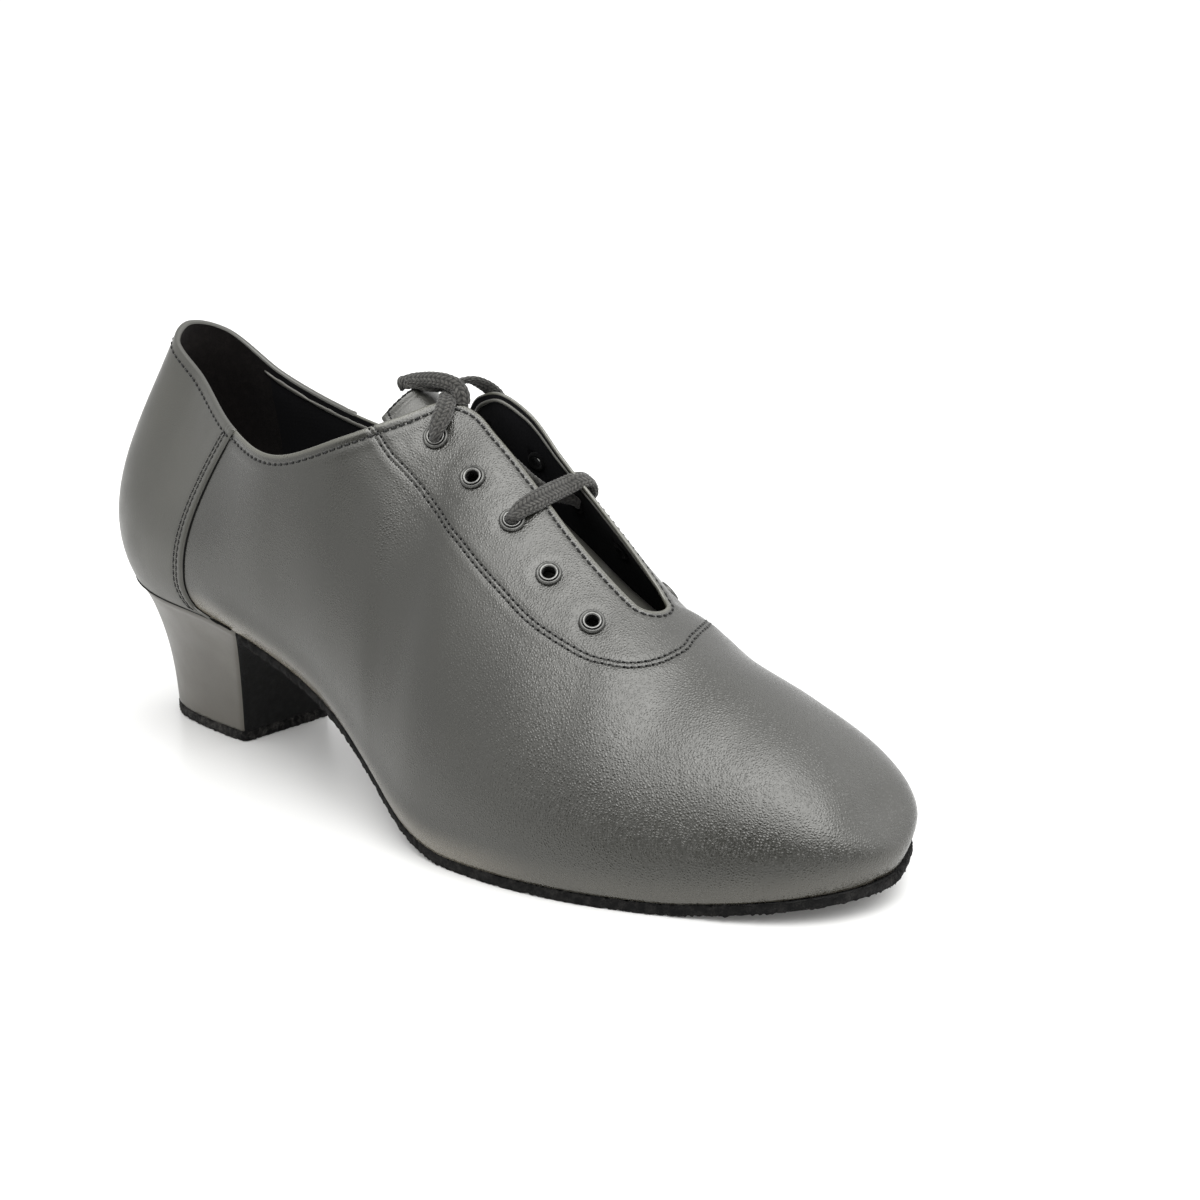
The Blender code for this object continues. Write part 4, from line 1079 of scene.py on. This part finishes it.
# ------------------------------------------------------------------ stitches
def tube_rows(centres, across, normal, half_across, half_normal, sides=7):
    """Short threads: centres (count, rings, 3) become closed tubes."""
    count, rings = centres.shape[:2]
    angle = np.linspace(0, 2 * np.pi, sides, endpoint=False)
    taper = np.sin(np.linspace(0.12, 0.88, rings) * np.pi) ** 0.35
    ring = (centres[:, :, None]
            + across[:, :, None] * (np.cos(angle)[None, None] * (half_across * taper)[None, :, None])[..., None]
            + normal[:, :, None] * (np.sin(angle)[None, None] * (half_normal * taper)[None, :, None])[..., None])
    index = np.arange(rings * sides).reshape(rings, sides)
    index = np.hstack([index, index[:, :1]])
    one = grid_quads(index)
    faces = (one[None] + (np.arange(count) * rings * sides)[:, None, None]).reshape(-1, 4).tolist()
    for k in range(count):
        start = k * rings * sides
        faces.append(list(range(start, start + sides)))
        faces.append(list(range(start + (rings - 1) * sides, start + rings * sides))[::-1])
    return ring.reshape(-1, 3), faces


def sew(name, rows, bvh, pitch=1.8, share=0.74, radius=0.24, slant=0.10, rise=0.10, material=None, hole=(0.36, 0.27)):
    """Rows of lock stitches on the surface: a thread between each two needle holes."""
    all_verts, all_faces, count = [], [], 0
    hole_verts, hole_faces, holes = [], [], 0
    for path, guide in rows:
        hits, norms = [], []
        for p, n in zip(place(path), guide):
            at, normal, _, _ = bvh.ray_cast(Vector(p + n * 0.004), Vector(-n), 0.012)
            if at is None:
                at, normal, _, _ = bvh.find_nearest(Vector(p))
            hits.append(at)
            norms.append(normal if Vector(n).dot(normal) > 0 else -normal)
        q = np.array(hits) * 1000 + np.array((ORIGIN[0], ORIGIN[1], 0.0))
        nn = np.array(norms)
        for _ in range(3):
            nn[1:-1] = unit(nn[:-2] + 2 * nn[1:-1] + nn[2:])
        s = arc(q)
        n_st = int(s[-1] / pitch)
        step = s[-1] / n_st
        mid = (np.arange(n_st) + 0.5) * step
        u = np.linspace(-0.5, 0.5, 7)
        at = mid[:, None] + u[None] * step * share
        centre = np.stack([np.interp(at, s, q[:, k]) for k in range(3)], -1)
        normal = unit(np.stack([np.interp(at, s, nn[:, k]) for k in range(3)], -1))
        tangent = unit(np.gradient(centre, axis=1))
        across = unit(np.cross(tangent, normal))
        height = rise - (rise + 0.26) * np.abs(2 * u) ** 3
        centre = centre + normal * height[None, :, None] + across * (slant * 2 * u)[None, :, None]
        v, f = tube_rows(centre, across, normal, radius, radius * 0.8)
        all_verts.append(v)
        all_faces += [[i + count for i in g] for g in f]
        count += len(v)
        at = np.arange(n_st + 1) * step
        if share < 0.7:
            at = (mid[:, None] + np.array((-0.5, 0.5)) * step * share).ravel()
        centre = np.stack([np.interp(at, s, q[:, k]) for k in range(3)], -1)
        normal = unit(np.stack([np.interp(at, s, nn[:, k]) for k in range(3)], -1))
        tangent = unit(np.gradient(centre, axis=0))
        across = unit(np.cross(tangent, normal))
        angle = np.linspace(0, 2 * np.pi, 8, endpoint=False)
        spread = (tangent[:, None] * (hole[0] * np.cos(angle))[None, :, None] + across[:, None] * (hole[1] * np.sin(angle))[None, :, None])
        top = centre[:, None] + spread + normal[:, None] * 0.05
        low = centre[:, None] + spread * 0.6 - normal[:, None] * 0.5
        block = np.concatenate([top, low], 1).reshape(-1, 3)
        for k in range(len(at)):
            b = holes + 16 * k
            hole_faces.append([b + j for j in range(8)])
            hole_faces.append([b + 8 + j for j in range(8)][::-1])
            hole_faces += [[b + j, b + 8 + j, b + 8 + (j + 1) % 8, b + (j + 1) % 8] for j in range(8)]
        hole_verts.append(block)
        holes += len(block)
    faces = all_faces + [[i + count for i in g] for g in hole_faces]
    kinds = [0] * len(all_faces) + [1] * len(hole_faces)
    verts = np.vstack(all_verts + hole_verts)
    # threads in their own finish; the needle-hole discs near-black, as painted shade in the holes
    obj = add_piece(name, verts, faces, [material or thread, pit], kinds,
                    attributes=dict(relief=np.ones(len(verts))))
    return obj


def seam_gap(name, lines, half):
    """Near-black tube laid where one piece lies on another: a painted shadow in the gap."""
    verts, faces, count = [], [], 0
    for path, normal in lines:
        across = unit(np.cross(np.gradient(path, axis=0), normal))
        v, f = tube_rows(path[None], across[None], normal[None], half, half * 0.8)
        verts.append(v)
        faces += [[i + count for i in g] for g in f]
        count += len(v)
    add_piece(name, np.vstack(verts), faces, [pit])


def shifted(path, normal, distance):
    """The path moved sideways in the surface."""
    t = unit(np.gradient(path, axis=0))
    return path + unit(np.cross(t, normal)) * distance


# ------------------------------------------------------------------ sole, heel, insole, tongue
def u_at(x, side):
    u = np.linspace(0, 0.9, 2000)
    return float(np.interp(x, outline(u, side)[0][:, 0], u))


def rough_edge(count, size, seed, coarse=3):
    """Uneven trimmed edge: offsets for a closed ring, seeded."""
    local = np.random.default_rng(seed)
    value = local.normal(0, 1, count)
    wide = np.zeros(count)
    for k in range(-coarse, coarse + 1):
        wide += np.roll(value, k)
    return size * (0.6 * value + 0.6 * wide / math.sqrt(2 * coarse + 1))


def make_sole():
    start = 0.5 * (u_at(BREAST_TOP + 1.2, -1) + u_at(BREAST_TOP + 1.2, 1))
    u, far = (np.concatenate([np.linspace(k, 0.9, 430), 0.9 + 0.1 * np.sin(np.linspace(0, np.pi / 2, 90))[1:]])
              for k in (start, u_at(BREAST_TOP - 1.6, 1)))
    left = outline(u, -1, -SOLE_WELT * 0.62 * ease(u, 0.80, 0.97))[0]
    right = outline(far, 1, -SOLE_WELT * (ease(u, 0.72, 0.84) - 0.38 * ease(u, 0.86, 0.97)))[0]
    f = np.concatenate([[0, 0.012, 0.04], np.linspace(0.12, 0.88, 7), [0.96, 0.988, 1]])
    plan = left[:, None] * (1 - f)[None, :, None] + right[:, None] * f[None, :, None]
    plan[-1] = (left[-1] + right[-1]) / 2
    z = feather_z(plan[..., 0]) + tip_lift(plan) - 0.12 - 0.35 * ease(u, 0.78, 0.97)[:, None]
    low_z = feather_z(plan[..., 0]) + tip_lift(plan) - FEATHER_LOW + 0.25 * ease(u, 0.78, 0.93)[:, None]
    top = np.concatenate([plan, z[..., None]], -1)
    low = np.concatenate([plan, np.maximum(low_z, 0.0)[..., None]], -1)
    verts, faces, rows = two_layers(top, low, (0.12, 0.35, 0.6, 0.85))
    ring = verts[rows[0]]
    t = unit(np.roll(ring, -1, 0) - np.roll(ring, 1, 0))
    out = unit(np.stack([t[:, 1], -t[:, 0], 0 * t[:, 0]], -1))
    out *= np.sign((out * (ring - ring.mean(0))).sum(-1).sum())
    for k, (row, push) in enumerate(zip(rows, (-0.15, 0.05, 0.12, 0.12, 0.05, -0.15))):
        verts[row] += out * (push + rough_edge(len(row), 0.10, 20 + k, 1))[:, None]
        verts[row, 2] += rough_edge(len(row), 0.14 if k in (0, 5) else 0.08, 40 + k, 1)
    verts[:, 2] = np.maximum(verts[:, 2], 0.0)
    obj = add_piece("suede_sole", verts, clean(faces), [suede], replaces=("outsole",))
    fix_outward(obj)


def make_insole():
    u = np.concatenate([1 - np.cos(np.linspace(0, np.pi / 2, 16)) ** 0.6, np.linspace(0, 1, 90)])
    u = np.unique(np.clip(np.concatenate([[0, 0.004, 0.01, 0.02, 0.035], np.linspace(0.05, 0.93, 70), [0.95, 0.97, 0.985, 0.995, 1.0]]), 0, 1))
    left = outline(u, -1, INSOLE_INSET)[0]
    right = outline(u, 1, INSOLE_INSET)[0]
    f = np.concatenate([[0, 0.03], np.linspace(0.08, 0.92, 13), [0.97, 1]])
    plan = left[:, None] * (1 - f)[None, :, None] + right[:, None] * f[None, :, None]
    for k in (0, -1):
        plan[k] = (left[k] + right[k]) / 2 + np.stack([0 * f, 0.6 * (f - 0.5)], -1)
    z = feather_z(plan[..., 0])
    cup = 0.5 * (np.abs(2 * f - 1) ** 4)[None]
    top = np.concatenate([plan, (z + 0.3 + INSOLE - 0.3 + cup)[..., None]], -1)
    low = np.concatenate([plan, (z + 0.3)[..., None]], -1)
    verts, faces, _ = two_layers(top, low, (0.3, 0.7))
    obj = add_piece("insole_sock", verts, clean(faces), [lining], replaces=("insole",))
    fix_outward(obj)


def heel_outline(share, count=56, corner=10, across=16):
    """Plan outline of the heel at one taper share: lateral front, back, medial front, breast."""
    foot = HEEL_FOOT
    u_end = {side: u_at(BREAST_TOP - HEEL_CORNER * 0.9, side) for side in (-1, 1)}
    mid, half = (foot["lateral"] + foot["medial"]) / 2, (foot["medial"] - foot["lateral"]) / 2
    points = []
    for side, s in ((-1, np.linspace(1, 0, count)), (1, np.linspace(0, 1, count)[1:])):
        seat = outline(u_end[side] * s, side, 0.2)[0]
        fx = (seat[:, 0] - 8.7) / (BREAST_TOP - HEEL_CORNER * 0.9 - 8.7)
        x = foot["back"] + fx * (BREAST_LOW[side] - HEEL_CORNER * 0.9 - foot["back"])
        y = mid + half * (seat[:, 1] + 1.4) / 27.0 * (foot["narrow"] + (1 - foot["narrow"]) * fx)
        points.append(seat * (1 - share) + np.stack([x, y], -1) * share)
    points = np.vstack(points)
    arcs = []
    for start, sign in ((points[-1], 1), (points[0], -1)):
        front = BREAST_TOP * (1 - share) + BREAST_LOW[sign] * share
        ang = np.linspace(0, np.pi / 2, corner + 1)[1:]
        arcs.append(np.stack([start[0] + (front - start[0]) * np.sin(ang), start[1] - sign * HEEL_CORNER * (1 - np.cos(ang))], -1))
    straight = np.linspace(arcs[0][-1], arcs[1][-1], across)[1:-1]
    return np.vstack([points, arcs[0], straight, arcs[1][::-1]]), len(points) + corner // 2, across + corner


def make_heel():
    rows = np.array(HEEL)
    heights = np.concatenate([[0.0, 0.008, 0.03], np.linspace(0.07, 0.9, 30), [0.92, 0.935, 0.95, 0.962, 0.974, 0.984, 0.992, 1.0]])
    seat, wrap, across = heel_outline(0.0)
    low = HEEL_TIP
    rings = []
    for h in heights:
        ring, _, _ = heel_outline(float(spline(rows[:, 0], rows[:, 1], h)))
        inset = 0.9 * (1 - math.sqrt(max(0.0, 1 - (1 - min(1.0, (1 - h) / 0.026)) ** 2))) + 0.25 * (h < 0.004)
        centre = ring.mean(0)
        t = unit(np.roll(ring, -1, 0) - np.roll(ring, 1, 0))
        n = np.stack([t[:, 1], -t[:, 0]], -1)
        n *= np.sign((n * (ring - centre)).sum())
        ring = ring - n * (inset - 0.45 * bell(h - 0.955, 0.02))
        top = feather_z(np.clip(seat[:, 0], 8, 250)) - 0.15
        rings.append(np.concatenate([ring, (low + (top - low) * h)[:, None]], -1))
    grid = np.array(rings)
    m, n = grid.shape[:2]
    index = np.arange(m * n).reshape(m, n)
    index = np.hstack([index, index[:, :1]])
    faces = [list(f) for f in grid_quads(index)]
    col = np.tile(np.arange(n), m - 1)
    kinds = [1 if wrap <= c < wrap + across - 1 else 0 for c in col]
    verts = grid.reshape(-1, 3)
    for row, flip in ((0, True), (m - 1, False)):
        ring = list(range(row * n, row * n + n))
        faces.append(ring[::-1] if not flip else ring)
        kinds.append(1)
    obj = add_piece("heel_block", verts, faces, [heel_leather, breast], kinds, ("heel",))
    fix_outward(obj)
    # top piece: rough-trimmed rubber, a touch larger than the block
    ring, _, _ = heel_outline(1.0, 110, 10, 60)
    centre = ring.mean(0)
    t = unit(np.roll(ring, -1, 0) - np.roll(ring, 1, 0))
    nn = np.stack([t[:, 1], -t[:, 0]], -1)
    nn *= np.sign((nn * (ring - centre)).sum())
    levels = ((0.0, -0.35), (0.25, 0.0), (0.9, 0.12), (1.7, 0.12), (2.5, 0.05), (HEEL_TIP + 0.05, -0.2))
    rings = []
    for k, (z, push) in enumerate(levels):
        edge = ring + nn * (push + rough_edge(len(ring), 0.17, 60 + k, 1))[:, None]
        rings.append(np.concatenate([edge, np.full((len(ring), 1), z)], -1))
    grid = np.array(rings)
    index = np.arange(len(levels) * len(ring)).reshape(len(levels), len(ring))
    index = np.hstack([index, index[:, :1]])
    faces = [list(f) for f in grid_quads(index)]
    faces += [list(index[0, :-1]), list(index[-1, :-1][::-1])]
    obj = add_piece("heel_top_piece", grid.reshape(-1, 3), faces, [rubber], replaces=("heel_tip",))
    fix_outward(obj)


def tongue_surface(t, f):
    """Point of the tongue's upper face: t along its rows, f across from -1 to 1."""
    run = np.arange(len(TONGUE_ROWS), dtype=float)
    col = {n: spline(run, column(TONGUE_ROWS, TONGUE_COLUMNS, n), t) for n in TONGUE_COLUMNS}
    return np.stack([col["x"] - col["sweep"] * f * f, col["y"] + f * col["half_width"], col["z"] - col["droop"] * f * f], -1)


def make_tongue():
    last = len(TONGUE_ROWS) - 1.0
    t = np.concatenate([np.linspace(0, last - 3, 60)[:-1], np.linspace(last - 3, last - 0.25, 60)[:-1], np.linspace(last - 0.25, last, 14)])
    f = np.concatenate([[-1, -0.985, -0.965], np.linspace(-0.94, 0.94, 60), [0.965, 0.985, 1]])
    tt, ff = np.meshgrid(t, f, indexing="ij")
    p = tongue_surface(tt, ff)
    ids = np.arange(p.shape[0] * p.shape[1]).reshape(p.shape[:2])
    n = vertex_normals(p.reshape(-1, 3), grid_quads(ids)).reshape(p.shape)
    n *= np.sign(n[..., 2:].mean())
    border = np.concatenate([p[:, 0], p[-1], p[:, -1]])
    tree = KDTree(len(border))
    for k, b in enumerate(border):
        tree.insert(b, k)
    tree.balance()
    d = np.array([tree.find(v)[2] for v in p.reshape(-1, 3)]).reshape(p.shape[:2])
    thick = TONGUE * np.sqrt(np.clip(1 - (1 - np.clip(d / 0.7, 0, 1)) ** 2, 0, 1))
    top = p + n * (0.30 * bell(d - 0.9, 0.9) - 0.14 * bell(d - 2.3, 0.5) - (TONGUE - thick) / 2)[..., None]
    low = p - n * (TONGUE / 2 + thick / 2)[..., None]
    verts, faces, _ = two_layers(top, low)
    obj = add_piece("tongue_leaf", verts, faces, [tongue_leather], replaces=("tongue",))
    fix_outward(obj)
    return obj


# ------------------------------------------------------------------ build
def tree_of(*objects):
    verts, faces, count = [], [], 0
    for obj in objects:
        co = np.empty(len(obj.data.vertices) * 3, np.float32)
        obj.data.vertices.foreach_get("co", co)
        co = co.reshape(-1, 3)
        verts += [Vector(v) for v in co.astype(float)]
        faces += [[i + count for i in p.vertices] for p in obj.data.polygons]
        count += len(co)
    return BVHTree.FromPolygons(verts, faces)


def make_eyelets():
    profile = ((1.62, -2.4), (1.62, 0.2), (1.70, 0.46), (1.86, 0.64), (2.06, 0.70), (2.26, 0.62), (2.38, 0.42), (2.46, 0.36),
               (2.56, 0.48), (2.76, 0.56), (3.0, 0.44), (3.2, 0.14), (3.25, -0.3), (2.05, -0.35), (2.05, -1.6), (2.7, -1.7),
               (2.6, -2.2), (2.1, -2.5))
    # faces of the profile: 0 blackened metal, 1 lighter metal as a painted highlight on the inner roll, 2 near-black
    # painted shade in the groove, the bore and under the flange
    finish = (2, 1, 1, 1, 1, 2, 2, 0, 0, 0, 0, 0, 2, 2, 2, 2, 2, 2)
    for (side, k), (c, n) in EYELETS.items():
        word = "lateral" if side < 0 else "medial"
        verts, faces = revolve(profile, c + n * (0.28 if side < 0 else -0.05), n, 40)
        obj = add_piece(f"eyelet_ring_{word}_{k + 1}", verts, faces, [metal, highlight_metal, pit], list(finish) * 40,
                        replaces=(f"eyelet_{word}_{k + 1}",))
        fix_outward(obj)


def make_binding(edge):
    """Edge of the lining, a flat bead a little below the rim on the inside."""
    pick = edge["medial"] & (edge["station"] > 28.0)
    p, n, down, a = (edge[k][pick] for k in ("points", "normal", "down", "station"))
    angle = np.linspace(0, 2 * np.pi, 10, endpoint=False)
    depth = 2.3 - 0.75 * ease(a, 122.0, 136.0)
    centre = p - n * 1.15 + down * depth[:, None]
    half = (0.62 - 0.2 * ease(a, 122.0, 136.0)) * ease(a, 28.0, 34.0) + 0.05
    ragged = rough_edge(len(p), 0.11, 77, 1) * (1 - ease(a, 112.0, 124.0))
    ring = (centre[:, None] + down[:, None] * ((half + ragged)[:, None] * np.cos(angle)[None])[..., None]
            + n[:, None] * (0.36 * np.sin(angle))[None, :, None])
    m = len(p)
    index = np.arange(m * 10).reshape(m, 10)
    faces = [list(f) for f in grid_quads(np.hstack([index, index[:, :1]]))]
    faces += [list(index[0][::-1]), list(index[-1])]
    obj = add_piece("lining_edge", ring.reshape(-1, 3), faces, [binding])
    fix_outward(obj)


lay_lace()
upper, upper_face, upper_quads, edge, upper_index, upper_end = make_upper()
panel, panel_top = make_back_panel()
make_tongue()
make_sole()
make_insole()
make_heel()
make_eyelets()
make_binding(edge)

surface = tree_of(upper, panel)
# one row all along the rim, from the heel round the slot and back
path = edge["points"] + edge["down"] * row_distance(edge["station"])[:, None]
closed = np.vstack([path, path[:1]])
s = arc(closed)
q = np.linspace(0, s[-1], int(s[-1] / 0.35))
rim_path = np.stack([np.interp(q, s, closed[:, k]) for k in range(3)], -1)
closed = np.vstack([edge["normal"], edge["normal"][:1]])
rim_normal = unit(np.stack([np.interp(q, s, closed[:, k]) for k in range(3)], -1))
sew("stitching_rim", [(rim_path, rim_normal)], surface, pitch=2.1, share=0.54, radius=0.34, slant=0.06, hole=(0.24, 0.34))
seam_p, seam_n = zip(facing_line(-1), [x[::-1] for x in facing_line(1)])
seam_p, seam_n = np.vstack(seam_p), unit(np.vstack(seam_n))
keep = np.concatenate([[True], np.linalg.norm(np.diff(seam_p, axis=0), axis=1) > 1e-3])
seam_p, seam_n = seam_p[keep], seam_n[keep]
sew("stitching_facing", [(shifted(seam_p, seam_n, d)[4:-4], seam_n[4:-4]) for d in (-0.62, 0.62)], surface, pitch=1.8,
    material=seam_thread, slant=0.16, hole=(0.42, 0.3))
rows = []
for side in (-1, 1):
    r = np.linspace(0.02, 0.955, 260)
    for behind in (2.3, 3.6):
        a = panel_edge(r) - behind
        rows.append((shell(a, r, side), normals(a, r, side)))
sew("stitching_panel", rows, surface, pitch=1.75, share=0.6, radius=0.26, hole=(0.26, 0.26))
rows = []
for side in (-1, 1):
    r = np.linspace(0.01, 0.97, 300)
    a = panel_edge(r) + 0.25
    rows.append((shell(a, r, side) + normals(a, r, side) * 0.04, normals(a, r, side)))
seam_gap("panel_gap", rows, 0.34)
seat = heel_outline(0.0)[0][:111]
seat = np.column_stack([seat, feather_z(np.clip(seat[:, 0], 8, 250)) - 0.1])
seat[:, :2] += 0.75 * unit(seat[:, :2] - np.array((34.0, 0.0)))
seam_gap("seat_gap", [(seat, np.tile(np.array((0.0, 0.0, 1.0)), (len(seat), 1)))], 0.55)
tongue = bpy.data.objects["tongue_leaf"]
f = np.linspace(-1, 1, 240)
last = len(TONGUE_ROWS) - 1.0
t = np.concatenate([np.linspace(last - 3.4, last - 0.75, 120), np.full(100, last - 0.75), np.linspace(last - 0.75, last - 3.4, 120)])
f = np.concatenate([np.full(120, -0.89), np.linspace(-0.89, 0.89, 100), np.full(120, 0.89)])
tongue_path = tongue_surface(t, f)
tongue_keep = np.concatenate([[True], np.linalg.norm(np.diff(tongue_path, axis=0), axis=1) > 1e-3])
tongue_path = tongue_path[tongue_keep]
up = np.tile(np.array((0.0, 0.0, 1.0)), (len(tongue_path), 1))
sew("stitching_tongue", [(tongue_path, up)], tree_of(tongue), pitch=1.6, share=0.6, radius=0.3, hole=(0.25, 0.3))
cut_eyelet_holes(upper)
for name in ("upper_leather", "back_panel", "insole_sock"):
    tidy(bpy.data.objects[name])

# ------------------------------------------------------------------ floor, world, lights
# the floor glows faintly: painted light that lifts the shadows under the shoe and adds a little fill to its underside
floor_finish = Finish("pale_floor", (0.66, 0.66, 0.652), 0.30, Specular_IOR_Level=0.4, Emission_Color=(1.0, 0.99, 0.96, 1.0),
                      Emission_Strength=0.09)
floor_finish.roughness(floor_finish.span(floor_finish.noise(12.0, 2.0), 0.3, 0.7, 0.28, 0.33))
mesh = bpy.data.meshes.new("floor")
mesh.from_pydata([(-30, -30, 0), (30, -30, 0), (30, 30, 0), (-30, 30, 0)], [], [(0, 1, 2, 3)])
mesh.materials.append(floor_finish.material)
floor = bpy.data.objects.new("floor", mesh)
floor.location.z = -0.0001
bpy.context.scene.collection.objects.link(floor)


def studio(around, dark, *bright):
    """White surroundings with one stronger soft light over the toe and a dim room in front."""
    world = bpy.data.worlds.new("studio")
    world.use_nodes = True
    tree = world.node_tree
    way = tree.nodes.new("ShaderNodeTexCoord").outputs["Generated"]

    def lobe(direction, low, high, strength):
        dot = tree.nodes.new("ShaderNodeVectorMath")
        dot.operation = "DOT_PRODUCT"
        tree.links.new(way, dot.inputs[0])
        dot.inputs[1].default_value = direction
        span = tree.nodes.new("ShaderNodeMapRange")
        span.interpolation_type = "SMOOTHSTEP"
        for key_name, v in (("From Min", low), ("From Max", high), ("To Min", 0.0), ("To Max", strength)):
            span.inputs[key_name].default_value = v
        tree.links.new(dot.outputs["Value"], span.inputs["Value"])
        return span.outputs["Result"]

    def join(operation, one, two):
        made = tree.nodes.new("ShaderNodeMath")
        made.operation = operation
        for socket, value in zip(made.inputs, (one, two)):
            if isinstance(value, float):
                socket.default_value = value
            else:
                tree.links.new(value, socket)
        return made.outputs[0]

    total = join("SUBTRACT", around, lobe(*dark))
    for one in bright:
        total = join("ADD", total, lobe(*one))
    tree.links.new(total, tree.nodes["Background"].inputs["Strength"])
    tree.nodes["Background"].inputs["Color"].default_value = (1.0, 1.0, 1.0, 1.0)
    bpy.context.scene.world = world


def heading(azimuth, elevation):
    """Direction towards an azimuth counted from the lateral side to the toe."""
    a, e = math.radians(azimuth), math.radians(elevation)
    return (math.sin(a) * math.cos(e), -math.cos(a) * math.cos(e), math.sin(e))


studio(1.08, (heading(46.0, 0.0), 0.47, 0.91, 1.07), (heading(66.0, 58.0), 0.73, 1.0, 4.7), (heading(4.0, 52.0), 0.89, 0.99, 1.15),
       (heading(148.0, 39.0), 0.70, 0.95, 0.55))
view_settings = bpy.context.scene.view_settings
view_settings.view_transform = "Standard"
view_settings.look = "None"
view_settings.exposure = 0.0
